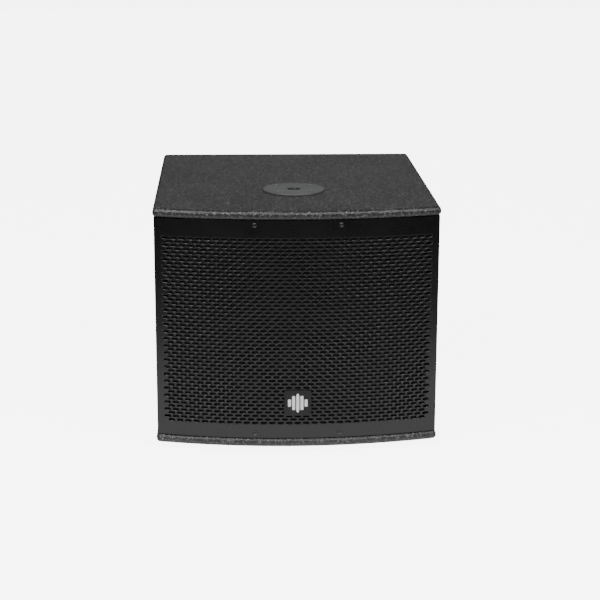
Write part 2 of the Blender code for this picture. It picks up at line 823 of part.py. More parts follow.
def make_basket():
    """Cast frame: flange, conical wall with windows, spider shelf and the seat for the magnet."""
    wall = BASKET_WALL
    shelf_floor = SHELF_DEPTH + wall
    profile = [
        (BASKET_THROAT, FLANGE_TOP),
        (DRIVER_RADIUS, FLANGE_TOP),
        (DRIVER_RADIUS, FLANGE_LOW),
        (BASKET_MOUTH, FLANGE_LOW),
        (BASKET_MOUTH, -THROAT_DEPTH),
        (SHELF_RADIUS, -SHELF_DEPTH),
        (SHELF_RADIUS, -shelf_floor),
        (SEAT_RADIUS, -shelf_floor),
        (SEAT_RADIUS, -SEAT_DEPTH),
        (MAGNET_BORE - wall, -SEAT_DEPTH),
        (MAGNET_BORE - wall, -SEAT_DEPTH + wall),
        (SEAT_RADIUS - wall, -SEAT_DEPTH + wall),
        (SEAT_RADIUS - wall, -SHELF_DEPTH),
        (SHELF_RADIUS - wall, -SHELF_DEPTH),
        (BASKET_THROAT, -THROAT_DEPTH),
    ]
    basket = driver_piece("driver_basket", profile, CAST)
    middle = (SHELF_DEPTH + THROAT_DEPTH) / 2
    height = (SHELF_DEPTH - THROAT_DEPTH) * WINDOW_SHARE
    axis = Vector((0, BAFFLE_FRONT + middle, DRIVER_Z))
    for number in range(BASKET_WINDOWS):
        angle = 2 * math.pi * (number + 0.5) / BASKET_WINDOWS
        out = Vector((math.cos(angle), 0, math.sin(angle)))
        size = (DRIVER_RADIUS, height, WINDOW_WIDTH)
        window = box(f"basket_window_{number + 1}", size, axis + out * DRIVER_RADIUS)
        window.rotation_euler = (0, -angle, 0)
        cut(basket, window)


def make_driver_gasket():
    low, high = GAP, GAP + DRIVER_GASKET
    inner, outer = BASKET_MOUTH + GAP, DRIVER_RADIUS - GAP
    driver_piece("driver_gasket", [(inner, high), (outer, high), (outer, low), (inner, low)], FOAM_BLACK)


def make_motor():
    """Top plate, magnet ring and the yoke with its pole, stacked behind the basket."""
    gap_radius = COIL_RADIUS + COIL_WALL + AIR_GAP
    plate_back = TOP_PLATE_FRONT - TOP_PLATE
    driver_piece(
        "driver_top_plate",
        [
            (gap_radius, TOP_PLATE_FRONT),
            (STEEL_RADIUS, TOP_PLATE_FRONT),
            (STEEL_RADIUS, plate_back),
            (gap_radius, plate_back),
        ],
        STEEL,
    )
    magnet_back = MAGNET_FRONT - MAGNET_HEIGHT
    driver_piece(
        "driver_magnet",
        [
            (MAGNET_BORE, MAGNET_FRONT),
            (MAGNET_RADIUS, MAGNET_FRONT),
            (MAGNET_RADIUS, magnet_back),
            (MAGNET_BORE, magnet_back),
        ],
        FERRITE,
    )
    pole = COIL_RADIUS - AIR_GAP
    vent = pole / 3
    driver_piece(
        "driver_pole_piece",
        [
            (vent, TOP_PLATE_FRONT),
            (pole, TOP_PLATE_FRONT),
            (pole, BACK_PLATE_FRONT),
            (STEEL_RADIUS, BACK_PLATE_FRONT),
            (STEEL_RADIUS, BACK_PLATE_FRONT - BACK_PLATE),
            (vent, BACK_PLATE_FRONT - BACK_PLATE),
        ],
        STEEL,
    )


def make_cone():
    """The paper cone, with a ring of points right under the dust cap's edge."""
    steps = 3
    beyond_cap = [CAP_RADIUS + (CONE_RADIUS - CAP_RADIUS) * i / steps for i in range(steps + 1)]
    radii = [NECK_RADIUS, *beyond_cap]
    front = [(r, cone_height(r)) for r in radii]
    back = [(r, cone_height(r) - 1.4 * CONE_PAPER) for r in reversed(radii)]
    driver_piece("cone", front + back, PAPER)


def make_dust_cap():
    """A shallow dome glued over the neck of the cone."""
    foot = cone_height(CAP_RADIUS) + GAP
    steps = 4
    skin = CONE_PAPER
    angles = [math.pi / 2 * i / steps for i in range(steps + 1)]
    top = [(CAP_RADIUS * math.sin(a), foot + skin + CAP_RISE * math.cos(a)) for a in angles]
    under = [(max(r - skin, 0), z - skin) for r, z in top[::-1][:-1]] + [(0, foot + CAP_RISE)]
    driver_piece("dust_cap", top + [(CAP_RADIUS, foot)] + under, PAPER)


def make_voice_coil():
    outer = COIL_RADIUS + COIL_WALL
    top = NECK + COIL_IN_NECK
    bottom = top - COIL_LENGTH
    profile = [(COIL_RADIUS, top), (outer, top), (outer, bottom), (COIL_RADIUS, bottom)]
    driver_piece("voice_coil", profile, COPPER)


def make_surround():
    """A half-roll of rubber from the cone's edge to the basket's flange."""
    roll = CONE_RADIUS + ROLL_RADIUS + ROLL_SKIN
    base = FLANGE_TOP + GAP
    top = base + ROLL_SKIN
    steps = 7
    arc = [math.pi * (1 - i / steps) for i in range(steps + 1)]
    over = [(roll + ROLL_RADIUS * math.cos(a), top + ROLL_RADIUS * math.sin(a)) for a in arc]
    inside = ROLL_RADIUS - ROLL_SKIN
    under = [(roll + inside * math.cos(a), base + ROLL_SKIN + inside * math.sin(a)) for a in reversed(arc)]
    inner_foot = CONE_RADIUS - SURROUND_INNER_FOOT
    outer_foot = BASKET_MOUTH + SURROUND_OUTER_FOOT
    profile = [
        (inner_foot, top),
        *over,
        (outer_foot, top),
        (outer_foot, base),
        (roll + inside, base),
        *under[1:-1],
        (roll - inside, base),
        (inner_foot, base),
    ]
    driver_piece("surround", profile, RUBBER)


def make_spider():
    """A corrugated cloth disc from the coil's former to the basket's shelf."""
    inner = COIL_RADIUS + COIL_WALL + GAP
    outer = SHELF_RADIUS - BASKET_WALL - GAP
    flat = SEAT_RADIUS - BASKET_WALL
    level = -SHELF_DEPTH + GAP
    skin = ROLL_SKIN
    steps = 4 * SPIDER_WAVES
    waves = []
    for i in range(steps + 1):
        share = i / steps
        wave = SPIDER_WAVE_HEIGHT * math.sin(2 * math.pi * SPIDER_WAVES * share)
        waves.append((inner + (flat - inner) * share, level + wave))
    top = [(r, z + skin) for r, z in waves] + [(outer, level + skin)]
    under = [(outer, level)] + waves[::-1]
    driver_piece("spider", top + under, CLOTH)


# Amplifier


def plate_hole(name, radius, x, z):
    """A round hole through the amplifier plate."""
    return rod(name, radius, 8 * AMP_PLATE, (x, PLATE_FACE, z), FORWARD, SMALL_STEPS)


def plate_slot(name, width, height, x, z):
    return box(name, (width, 8 * AMP_PLATE, height), (x, PLATE_FACE, z))


def make_amp_plate():
    """The steel plate that closes the rear opening, with a hole for every fitting."""
    low = (-AMP_WIDTH / 2, PLATE_BACK, INNER_MIDDLE - AMP_HEIGHT / 2)
    high = (AMP_WIDTH / 2, PLATE_FACE, AMP_TOP)
    plate = bevel(span_box("amp_plate", low, high), AMP_PLATE / 5)
    cut(plate, plate_hole("level_hole", SHAFT_RADIUS + RUNNING, LEVEL_X, CONTROL_Z))
    cut(plate, plate_hole("crossover_hole", SHAFT_RADIUS + RUNNING, CROSSOVER_X, CONTROL_Z))
    cut(plate, plate_hole("ground_hole", BUTTON_RADIUS + RUNNING, GROUND_X, CONTROL_Z))
    cut(plate, plate_hole("lamp_hole", LAMP_RADIUS + GAP, LAMP_X, CONTROL_Z))
    slot = SLIDER_SIDE + 2 * RUNNING
    middle = PHASE_X + SLIDER_TRAVEL / 2
    cut(plate, plate_slot("phase_slot", slot + SLIDER_TRAVEL, slot, middle, CONTROL_Z))
    for side, x in INPUT_XS.items():
        cut(plate, plate_hole(f"input_hole_{side}", SOCKET_BARREL + GAP, x, SOCKET_Z))
        width, height = LATCH_WIDTH + 4 * GAP, LATCH_HEIGHT * 2 + 4 * GAP
        up = SOCKET_Z + LATCH_UP - LATCH_HEIGHT / 2
        cut(plate, plate_slot(f"latch_slot_{side}", width, height, x, up))
    for side, x in OUTPUT_XS.items():
        cut(plate, plate_hole(f"output_hole_{side}", SOCKET_BARREL + GAP, x, SOCKET_Z))
    play = 2 * GAP
    width, height = rocker_body_size()
    cut(plate, plate_slot("rocker_slot", width + play, height + play, ROCKER_X, MAINS_Z))
    width, height = inlet_body_size()
    cut(plate, plate_slot("inlet_slot", width + play, height + play, INLET_X, MAINS_Z))
    paint(plate, AMP_BLACK)


def make_heat_sink():
    """A finned block on the plate. Its comb-shaped section is raised along Z."""
    base = PLATE_FACE + GAP
    root, tip = base + SINK_BASE, base + SINK_DEPTH
    pitch = (SINK_WIDTH - SINK_FIN) / (SINK_FINS - 1)
    half = SINK_WIDTH / 2
    outline = [(-half, base), (half, base)]
    for number in reversed(range(SINK_FINS)):
        left = -half + number * pitch
        outline += [(left + SINK_FIN, root), (left + SINK_FIN, tip), (left, tip), (left, root)]
    outline = [outline[0], outline[1], *outline[3:-1]]
    high_z = AMP_TOP - SINK_FROM_TOP
    paint(extruded("heat_sink", outline, high_z - SINK_HEIGHT, high_z), AMP_BLACK)


def make_amp_tray():
    """A sheet-metal box behind the plate, open towards it, that keeps the air pressure out."""
    half = Vector((AMP_WIDTH / 2 - AMP_LEDGE - TRAY_PLAY, 0, AMP_HEIGHT / 2 - AMP_LEDGE - TRAY_PLAY))
    centre = Vector((0, 0, INNER_MIDDLE))
    front, back = Vector((0, TRAY_FRONT, 0)), Vector((0, PLATE_BACK - GAP, 0))
    tray = span_box("amp_tray", centre + front - half, centre + back + half)
    inside = half - Vector((TRAY_WALL, 0, TRAY_WALL))
    floor, beyond = front + Vector((0, TRAY_WALL, 0)), back + Vector((0, TRAY_WALL, 0))
    cut(tray, span_box("tray_inside", centre + floor - inside, centre + beyond + inside))
    paint(tray, STEEL)


def make_amp_board():
    """A circuit board with two capacitors and a row of power devices, on pillars from the plate."""
    y = PLATE_BACK - BOARD_BEHIND_PLATE
    z = AMP_TOP - AMP_LEDGE - 2 * TRAY_PLAY - BOARD_HEIGHT / 2
    board = box("amp_board", (BOARD_WIDTH, BOARD_SHEET, BOARD_HEIGHT), (0, y, z))
    for number, x in enumerate(CAPACITOR_XS, 1):
        place = (x, y - CAPACITOR_HEIGHT / 2, z + CAPACITOR_UP)
        join(board, rod(f"capacitor_{number}", CAPACITOR_RADIUS, CAPACITOR_HEIGHT, place, FORWARD))
    place = (POWER_ROW_X, y - POWER_ROW_SIZE[1] / 2, z - POWER_ROW_DOWN)
    join(board, box("power_devices", POWER_ROW_SIZE, place))
    length = PLATE_BACK - GAP - y
    reach_x, reach_z = BOARD_WIDTH / 2 - PILLAR_IN, BOARD_HEIGHT / 2 - PILLAR_IN
    for number, (sx, sz) in enumerate(((-1, -1), (-1, 1), (1, -1), (1, 1)), 1):
        place = (sx * reach_x, y + length / 2, z + sz * reach_z)
        join(board, rod(f"pillar_{number}", PILLAR_RADIUS, length, place, FORWARD, PIN_STEPS))
    paint(board, CIRCUIT)


def make_transformer():
    half = COIL_CORE_HEIGHT / 2
    soft = COIL_CORE_HEIGHT / 6
    profile = [
        (COIL_CORE_BORE + soft, half),
        (COIL_CORE_RADIUS - soft, half),
        (COIL_CORE_RADIUS, half - soft),
        (COIL_CORE_RADIUS, soft - half),
        (COIL_CORE_RADIUS - soft, -half),
        (COIL_CORE_BORE + soft, -half),
        (COIL_CORE_BORE, soft - half),
        (COIL_CORE_BORE, half - soft),
    ]
    z = INNER_MIDDLE - AMP_HEIGHT / 2 + AMP_LEDGE + 2 * TRAY_PLAY + COIL_CORE_RADIUS
    place = (0, TRAY_FRONT + TRAY_WALL + GAP + half, z)
    paint(turned("transformer", profile, place, FORWARD, SMALL_STEPS), WINDING)


def make_knob(name, x):
    """A knob on its shaft, with a pointer groove."""
    foot = GAP
    profile = [
        (0, KNOB_HEIGHT),
        (KNOB_RADIUS * 0.80, KNOB_HEIGHT),
        (KNOB_RADIUS * 0.86, KNOB_HEIGHT * 0.94),
        (KNOB_RADIUS, KNOB_HEIGHT * 0.15),
        (KNOB_RADIUS, foot),
        (SHAFT_RADIUS, foot),
        (SHAFT_RADIUS, -SHAFT_LENGTH),
        (0, -SHAFT_LENGTH),
    ]
    knob = turned(name, profile, (x, PLATE_FACE, CONTROL_Z), BACKWARD, SMALL_STEPS)
    groove = box(
        f"{name}_groove",
        (POINTER_WIDTH, POINTER_WIDTH, KNOB_RADIUS),
        (x, PLATE_FACE + KNOB_HEIGHT, CONTROL_Z + KNOB_RADIUS * 0.5),
    )
    cut(knob, groove)
    paint(knob, PLASTIC)


def make_phase_switch():
    """A slider whose foot runs behind the plate."""
    out = PLATE_FACE + SLIDER_HEIGHT
    foot_front = PLATE_BACK - RUNNING
    half = SLIDER_SIDE / 2
    lever = span_box(
        "phase_switch",
        (PHASE_X - half, foot_front - COLLAR / 2, CONTROL_Z - half),
        (PHASE_X + half, out, CONTROL_Z + half),
    )
    foot = span_box(
        "phase_foot",
        (PHASE_X - 3 * half, foot_front - COLLAR, CONTROL_Z - 2 * half),
        (PHASE_X + 3 * half, foot_front, CONTROL_Z + 2 * half),
    )
    join(lever, foot)
    paint(lever, PLASTIC)


def make_ground_lift_button():
    """A push button with a collar behind the plate, which keeps it from coming out."""
    collar = -AMP_PLATE - RUNNING
    end = collar - COLLAR - BUTTON_TRAVEL
    profile = [
        (0, BUTTON_HEIGHT),
        (BUTTON_RADIUS * 0.85, BUTTON_HEIGHT),
        (BUTTON_RADIUS, BUTTON_HEIGHT * 0.9),
        (BUTTON_RADIUS, collar),
        (BUTTON_RADIUS * 1.5, collar),
        (BUTTON_RADIUS * 1.5, collar - COLLAR),
        (BUTTON_RADIUS * 0.5, collar - COLLAR),
        (BUTTON_RADIUS * 0.5, end),
        (0, end),
    ]
    place = (GROUND_X, PLATE_FACE, CONTROL_Z)
    paint(turned("ground_lift_button", profile, place, BACKWARD, SMALL_STEPS), PLASTIC)


def make_status_lamp():
    collar = -AMP_PLATE - GAP
    profile = [(0, LAMP_RADIUS * 0.8)]
    for step in range(1, 4):
        angle = math.radians(30 * step)
        profile.append((LAMP_RADIUS * math.sin(angle), LAMP_RADIUS * 0.8 * math.cos(angle)))
    profile += [
        (LAMP_RADIUS, collar),
        (LAMP_RADIUS * 1.4, collar),
        (LAMP_RADIUS * 1.4, collar - COLLAR),
        (0, collar - COLLAR),
    ]
    place = (LAMP_X, PLATE_FACE, CONTROL_Z)
    paint(turned("status_lamp", profile, place, BACKWARD, SMALL_STEPS), LAMP_GREEN)


def socket_shell(name, x, profile):
    """A connector's oblong flange with a round barrel through the plate."""
    low = (x - SOCKET_WIDTH / 2, PLATE_FACE + GAP, SOCKET_Z - SOCKET_HEIGHT / 2)
    high = (x + SOCKET_WIDTH / 2, PLATE_FACE + GAP + SOCKET_FLANGE, SOCKET_Z + SOCKET_HEIGHT / 2)
    shell = span_box(name, low, high)
    top = GAP + SOCKET_FLANGE
    place = (x, PLATE_FACE, SOCKET_Z)
    barrel = rod(
        f"{name}_barrel",
        SOCKET_BARREL,
        SOCKET_DEPTH + SOCKET_FLANGE / 2,
        (x, PLATE_FACE + GAP + SOCKET_FLANGE / 2 - (SOCKET_DEPTH + SOCKET_FLANGE / 2) / 2, SOCKET_Z),
        FORWARD,
    )
    join(shell, barrel)
    cut(shell, turned(f"{name}_bore", profile(top), place, BACKWARD, SMALL_STEPS))
    return shell


def make_input_socket(side, x):
    """A female connector: a ring-shaped gap round an insert with three holes, and a latch slot."""

    def ring(top):
        floor = SOCKET_FLOOR - SOCKET_DEPTH
        return [
            (0, top + SOCKET_FLANGE),
            (SOCKET_BORE, top + SOCKET_FLANGE),
            (SOCKET_BORE, floor),
            (INSERT_RADIUS, floor),
            (INSERT_RADIUS, top - SOCKET_FLANGE),
            (0, top - SOCKET_FLANGE),
        ]

    socket = socket_shell(f"input_socket_{side}", x, ring)
    slot = (LATCH_WIDTH + 2 * GAP, 4 * SOCKET_FLANGE, LATCH_HEIGHT + 2 * GAP)
    cut(socket, box(f"latch_way_{side}", slot, (x, PLATE_FACE, SOCKET_Z + LATCH_UP)))
    for number, (dx, dz) in enumerate(pin_places(), 1):
        place = (x + dx, PLATE_FACE, SOCKET_Z + dz)
        cut(socket, rod(f"contact_{side}_{number}", PIN_RADIUS, SOCKET_DEPTH, place, FORWARD, PIN_STEPS))
    paint(socket, PLASTIC)


def pin_places():
    """The three contacts of a microphone connector: two level with its middle and one below."""
    for degrees in (0, 180, 270):
        angle = math.radians(degrees)
        yield PIN_CIRCLE * math.cos(angle), PIN_CIRCLE * math.sin(angle)


def make_latch_tab(side, x):
    """The push tab that frees the plug, in its slot above the barrel."""
    face = PLATE_FACE + GAP + SOCKET_FLANGE + LATCH_PROUD
    half = Vector((LATCH_WIDTH / 2, 0, LATCH_HEIGHT / 2))
    centre = Vector((x, 0, SOCKET_Z + LATCH_UP))
    near, far = Vector((0, face - LATCH_LENGTH, 0)), Vector((0, face, 0))
    tab = span_box(f"latch_tab_{side}", centre + near - half, centre + far + half)
    paint(tab, STEEL)


def make_output_socket(side, x):
    """A male connector: an open bore with three pins."""

    def bore(top):
        floor = SOCKET_FLOOR - SOCKET_DEPTH
        return [
            (0, top + SOCKET_FLANGE),
            (SOCKET_BORE, top + SOCKET_FLANGE),
            (SOCKET_BORE, floor),
            (0, floor),
        ]

    socket = socket_shell(f"output_socket_{side}", x, bore)
    for number, (dx, dz) in enumerate(pin_places(), 1):
        length = SOCKET_DEPTH - SOCKET_FLOOR / 2
        y = PLATE_FACE - SOCKET_DEPTH + SOCKET_FLOOR / 2 + length / 2
        place = (x + dx, y, SOCKET_Z + dz)
        join(socket, rod(f"pin_{side}_{number}", PIN_RADIUS, length, place, FORWARD, PIN_STEPS))
    paint(socket, PLASTIC)


def rocker_pocket_size():
    return ROCKER_WIDTH + 2 * RUNNING, 2 * (ROCKER_REACH + RUNNING)


def rocker_body_size():
    width, height = rocker_pocket_size()
    return width + 2 * ROCKER_WALL, height + 2 * ROCKER_WALL


def make_rocker_frame():
    width, height = rocker_body_size()
    bezel_low = PLATE_FACE + GAP
    bezel_high = bezel_low + ROCKER_BEZEL
    bezel_size = Vector((width / 2 + ROCKER_RIM, 0, height / 2 + ROCKER_RIM))
    centre = Vector((ROCKER_X, 0, MAINS_Z))
    frame = span_box(
        "rocker_frame",
        centre + Vector((0, bezel_low, 0)) - bezel_size,
        centre + Vector((0, bezel_high, 0)) + bezel_size,
    )
    body_size = Vector((width / 2, 0, height / 2))
    body = span_box(
        "rocker_body",
        centre + Vector((0, PLATE_FACE - ROCKER_BODY_DEPTH, 0)) - body_size,
        centre + Vector((0, bezel_low + ROCKER_BEZEL / 2, 0)) + body_size,
    )
    join(frame, body)
    width, height = rocker_pocket_size()
    pocket_size = Vector((width / 2, 0, height / 2))
    pocket = span_box(
        "rocker_pocket",
        centre + Vector((0, PLATE_FACE - ROCKER_BODY_DEPTH + ROCKER_WALL, 0)) - pocket_size,
        centre + Vector((0, bezel_high + ROCKER_BEZEL, 0)) + pocket_size,
    )
    cut(frame, pocket)
    paint(frame, PLASTIC)


def make_power_rocker():
    """A rocker whose ends are arcs about its pivot, resting with its lower end out."""
    steps = 4
    arc = [(ROCKER_SKIRT + ROCKER_RISE) * i / steps - ROCKER_SKIRT for i in range(steps + 1)]
    end = [(ROCKER_REACH * math.cos(angle), ROCKER_REACH * math.sin(angle)) for angle in arc]
    outline = end + [(0, ROCKER_REACH * ROCKER_DISH)] + [(-x, y) for x, y in reversed(end)]
    rocker = extruded("power_rocker", outline, -ROCKER_WIDTH / 2, ROCKER_WIDTH / 2)
    # Own X becomes down, own Y outwards and own Z along the pivot.
    upright = Matrix(((0, 0, 1), (0, 1, 0), (-1, 0, 0))).to_4x4()
    tilt = Matrix.Rotation(-ROCKER_TILT, 4, "X")
    rocker.matrix_world = Matrix.Translation((ROCKER_X, PIVOT_Y, MAINS_Z)) @ tilt @ upright
    paint(rocker, PLASTIC)


def inlet_body_size():
    height = RECESS_UP + RECESS_HEIGHT / 2 + INLET_BODY_WALL
    return RECESS_WIDTH + 2 * INLET_BODY_WALL, 2 * height


def make_mains_inlet():
    """The mains connector: a deep recess with three blades above the fuse drawer's slot."""
    centre = Vector((INLET_X, 0, MAINS_Z))
    flange_low, flange_high = PLATE_FACE + GAP, PLATE_FACE + GAP + INLET_FLANGE
    flange_size = Vector((INLET_WIDTH / 2, 0, INLET_HEIGHT / 2))
    inlet = span_box(
        "mains_inlet",
        centre + Vector((0, flange_low, 0)) - flange_size,
        centre + Vector((0, flange_high, 0)) + flange_size,
    )
    width, height = inlet_body_size()
    body_size = Vector((width / 2, 0, height / 2))
    body = span_box(
        "inlet_body",
        centre + Vector((0, PLATE_FACE - INLET_BODY_DEPTH, 0)) - body_size,
        centre + Vector((0, flange_low + INLET_FLANGE / 2, 0)) + body_size,
    )
    join(inlet, body)
    recess_low = flange_high - RECESS_DEPTH
    recess_centre = centre + Vector((0, 0, RECESS_UP))
    recess_size = Vector((RECESS_WIDTH / 2, 0, RECESS_HEIGHT / 2))
    recess = span_box(
        "inlet_recess",
        recess_centre + Vector((0, recess_low, 0)) - recess_size,
        recess_centre + Vector((0, flange_high + INLET_FLANGE, 0)) + recess_size,
    )
    cut(inlet, recess)
    drawer_size = Vector((DRAWER_WIDTH / 2 + RUNNING, 0, DRAWER_HEIGHT / 2 + RUNNING))
    drawer_centre = centre - Vector((0, 0, DRAWER_DOWN))
    drawer_way = span_box(
        "drawer_way",
        drawer_centre + Vector((0, flange_high - DRAWER_DEPTH - RUNNING, 0)) - drawer_size,
        drawer_centre + Vector((0, flange_high + INLET_FLANGE, 0)) + drawer_size,
    )
    cut(inlet, drawer_way)
    for number, (dx, dz) in enumerate(((-BLADE_SPREAD, 0), (0, BLADE_HEIGHT), (BLADE_SPREAD, 0)), 1):
        size = (BLADE_WIDTH, BLADE_LENGTH, BLADE_HEIGHT)
        place = recess_centre + Vector((dx, recess_low + BLADE_LENGTH / 2 - BLADE_ROOT, dz))
        join(inlet, box(f"blade_{number}", size, place))
    paint(inlet, PLASTIC)


def make_fuse_drawer():
    """A small drawer under the mains recess, with a lip to pull it by."""
    face = PLATE_FACE + GAP + INLET_FLANGE
    centre = Vector((INLET_X, 0, MAINS_Z - DRAWER_DOWN))
    half = Vector((DRAWER_WIDTH / 2, 0, DRAWER_HEIGHT / 2))
    near, far = Vector((0, face - DRAWER_DEPTH, 0)), Vector((0, face + DRAWER_LIP, 0))
    drawer = span_box("fuse_drawer", centre + near - half, centre + far + half)
    fuse_bay = box(
        "fuse_bay",
        (DRAWER_WIDTH * 0.6, DRAWER_DEPTH * 0.6, DRAWER_HEIGHT),
        centre + Vector((0, face - DRAWER_DEPTH / 2, DRAWER_HEIGHT * 0.4)),
    )
    cut(drawer, fuse_bay)
    paint(drawer, PLASTIC)


def make_driver_lead():
    """The pair of wires from the amplifier's tray to the driver's terminal, one sheathed cable."""
    terminal_y = BAFFLE_FRONT + (SHELF_DEPTH + BASKET_WALL + SEAT_DEPTH) / 2
    start = Vector((LEAD_EXIT_X, TRAY_FRONT - GAP, INNER_MIDDLE - LEAD_EXIT_DOWN))
    end = Vector((SEAT_RADIUS + 2 * GAP, terminal_y, DRIVER_Z))
    route = [
        start,
        start + Vector(LEAD_LEAVES),
        (start + end) / 2 + Vector(LEAD_SAGS),
        end + Vector(LEAD_ARRIVES),
        end,
    ]
    curve = bpy.data.curves.new("driver_lead", "CURVE")
    curve.dimensions = "3D"
    curve.bevel_depth = LEAD_RADIUS
    curve.bevel_resolution = 2
    curve.resolution_u = 4
    curve.use_fill_caps = True
    spline = curve.splines.new("BEZIER")
    spline.bezier_points.add(len(route) - 1)
    for point, place in zip(spline.bezier_points, route):
        point.co = place
        point.handle_left_type = point.handle_right_type = "AUTO"
    square_to_face(spline.bezier_points[0], Vector((0, -LEAD_STRAIGHT, 0)))
    square_to_face(spline.bezier_points[-1], Vector((-LEAD_STRAIGHT, 0, 0)))
    lead = bpy.data.objects.new("driver_lead", curve)
    PARTS.objects.link(lead)
    paint(lead, RUBBER)


def square_to_face(point, direction):
    """Makes a route's end meet its face squarely."""
    point.handle_left_type = point.handle_right_type = "FREE"
    point.handle_left = point.co - direction
    point.handle_right = point.co + direction


def build():
    start_scene()
    make_top_panel()
    make_bottom_panel()
    make_rear_panel()
    make_baffle()
    make_window_brace()
    make_feet()
    make_grille()
    make_grille_foam()
    make_battens()
    make_grille_screws()
    make_badge()
    make_stand_flange()
    make_flange_screws()
    for side, sign in (("left", -1), ("right", 1)):
        make_side_panel(side, sign)
        make_handle(side, sign)
        make_port(side, sign)
    make_basket()
    make_driver_gasket()
    make_motor()
    make_cone()
    make_dust_cap()
    make_voice_coil()
    make_surround()
    make_spider()
    make_amp_plate()
    make_heat_sink()
    make_amp_tray()
    make_amp_board()
    make_transformer()
    make_knob("level_knob", LEVEL_X)
    make_knob("crossover_knob", CROSSOVER_X)
    make_phase_switch()
    make_ground_lift_button()
    make_status_lamp()
    for side, x in INPUT_XS.items():
        make_input_socket(side, x)
        make_latch_tab(side, x)
    for side, x in OUTPUT_XS.items():
        make_output_socket(side, x)
    make_rocker_frame()
    make_power_rocker()
    make_mains_inlet()
    make_fuse_drawer()
    make_driver_lead()


build()
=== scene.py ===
"""Finishes and fine pieces for a powered bass cabinet, laid out as an add-on.

Every size is in metres, in the same frame as the solids: the front faces -Y and +Z is up.
"""

import json
import math

import bmesh
import bpy
from bpy.props import FloatProperty, FloatVectorProperty, IntProperty, PointerProperty
from mathutils import Matrix, Vector, noise


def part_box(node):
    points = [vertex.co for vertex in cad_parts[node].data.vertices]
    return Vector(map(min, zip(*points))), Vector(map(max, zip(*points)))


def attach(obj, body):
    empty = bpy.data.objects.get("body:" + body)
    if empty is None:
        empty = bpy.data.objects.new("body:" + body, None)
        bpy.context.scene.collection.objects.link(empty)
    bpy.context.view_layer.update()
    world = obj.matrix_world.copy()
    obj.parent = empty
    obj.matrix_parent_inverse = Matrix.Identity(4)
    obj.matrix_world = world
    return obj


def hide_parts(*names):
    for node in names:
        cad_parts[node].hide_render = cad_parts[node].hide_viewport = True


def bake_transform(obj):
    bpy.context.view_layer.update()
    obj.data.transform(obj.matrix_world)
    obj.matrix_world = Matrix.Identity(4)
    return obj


bl_info = {
    "name": "Bass Cabinet Finisher",
    "version": (1, 0, 0),
    "blender": (4, 5, 0),
    "location": "View3D > Sidebar > Cabinet",
    "description": "Builds the grille, fittings, finishes and studio for a powered bass cabinet",
    "category": "Object",
}

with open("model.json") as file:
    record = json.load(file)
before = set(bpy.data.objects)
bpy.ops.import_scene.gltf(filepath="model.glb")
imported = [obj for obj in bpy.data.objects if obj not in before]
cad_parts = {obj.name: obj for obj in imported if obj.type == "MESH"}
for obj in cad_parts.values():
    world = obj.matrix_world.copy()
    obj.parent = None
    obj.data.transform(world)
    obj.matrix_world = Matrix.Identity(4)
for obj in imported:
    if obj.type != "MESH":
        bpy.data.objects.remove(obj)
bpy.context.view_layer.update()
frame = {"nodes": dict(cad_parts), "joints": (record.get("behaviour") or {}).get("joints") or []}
SHELL = "cabinet"


# Places and sizes read from the solids


def node_low(name):
    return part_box(name)[0]


def node_high(name):
    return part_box(name)[1]


def node_middle(name):
    low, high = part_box(name)
    return (low + high) / 2


def node_size(name):
    low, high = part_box(name)
    return high - low


def joint(name):
    return next(j for j in frame["joints"] if j["name"] == name)


TOP_LOW, TOP_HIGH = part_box("top_panel")
GRILLE_LOW, GRILLE_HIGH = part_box("grille")
HALF_WIDTH = TOP_HIGH.x
FRONT_Y, BACK_Y = TOP_LOW.y, TOP_HIGH.y
BOARD = TOP_HIGH.z - TOP_LOW.z
GRILLE_SETBACK = GRILLE_LOW.y - FRONT_Y
PLATE_FACE = node_high("amp_plate").y


# Settings


def length(name, about, value, **more):
    """A length property in metres."""
    return FloatProperty(
        name=name, description=about, default=value, subtype="DISTANCE", unit="LENGTH", **more
    )


def colour(name, about, value):
    return FloatVectorProperty(
        name=name, description=about, default=value, subtype="COLOR", size=3, min=0, max=1
    )


class BoardSettings(bpy.types.PropertyGroup):
    bow: length("Bow", "How far the front swells forward of its corners", 0.034)
    round_over: length("Round-over", "Radius of the end boards' outer edges", 0.007)
    bow_steps: IntProperty(name="Bow steps", description="Faces across the bow", default=96, min=8)


class GrilleSettings(bpy.types.PropertyGroup):
    sheet: length("Sheet", "Thickness of the steel sheet", 0.0014)
    bend: length("Bend", "Outer radius of the folded side edges", 0.0028)
    columns: IntProperty(name="Columns", description="Slots in a full row", default=32, min=2)
    rows: IntProperty(name="Rows", description="Rows of slots", default=52, min=2)
    row_pitch: length("Row pitch", "Height from one row of slots to the next", 0.0062)
    slot_length: length("Slot length", "From end to end of one slot", 0.0112)
    slot_height: length("Slot height", "Height of one slot", 0.0040)
    edge: length("Slot edge", "Softening of each slot's front edge", 0.00060)
    shading: FloatProperty(name="Shading", description="Sharper edges stay crisp, in degrees", default=50)
    side_band: length("Side band", "Plain width beside the slots, along the sheet", 0.0094)
    bottom_band: length("Bottom band", "Plain height under the slots", 0.0235)


class BadgeSettings(bpy.types.PropertyGroup):
    corner: length("Corner", "Radius of the badge's corners", 0.003)
    relief: length("Relief", "How far the bars stand proud", 0.0004)
    bars: IntProperty(name="Bars", description="Bars in the level-meter mark", default=5, min=1)
    bar_width: length("Bar width", "Width of one bar", 0.0052)
    bar_gap: length("Bar gap", "Space between two bars", 0.0018)
    tallest: length("Tallest bar", "Height of the middle bar", 0.033)


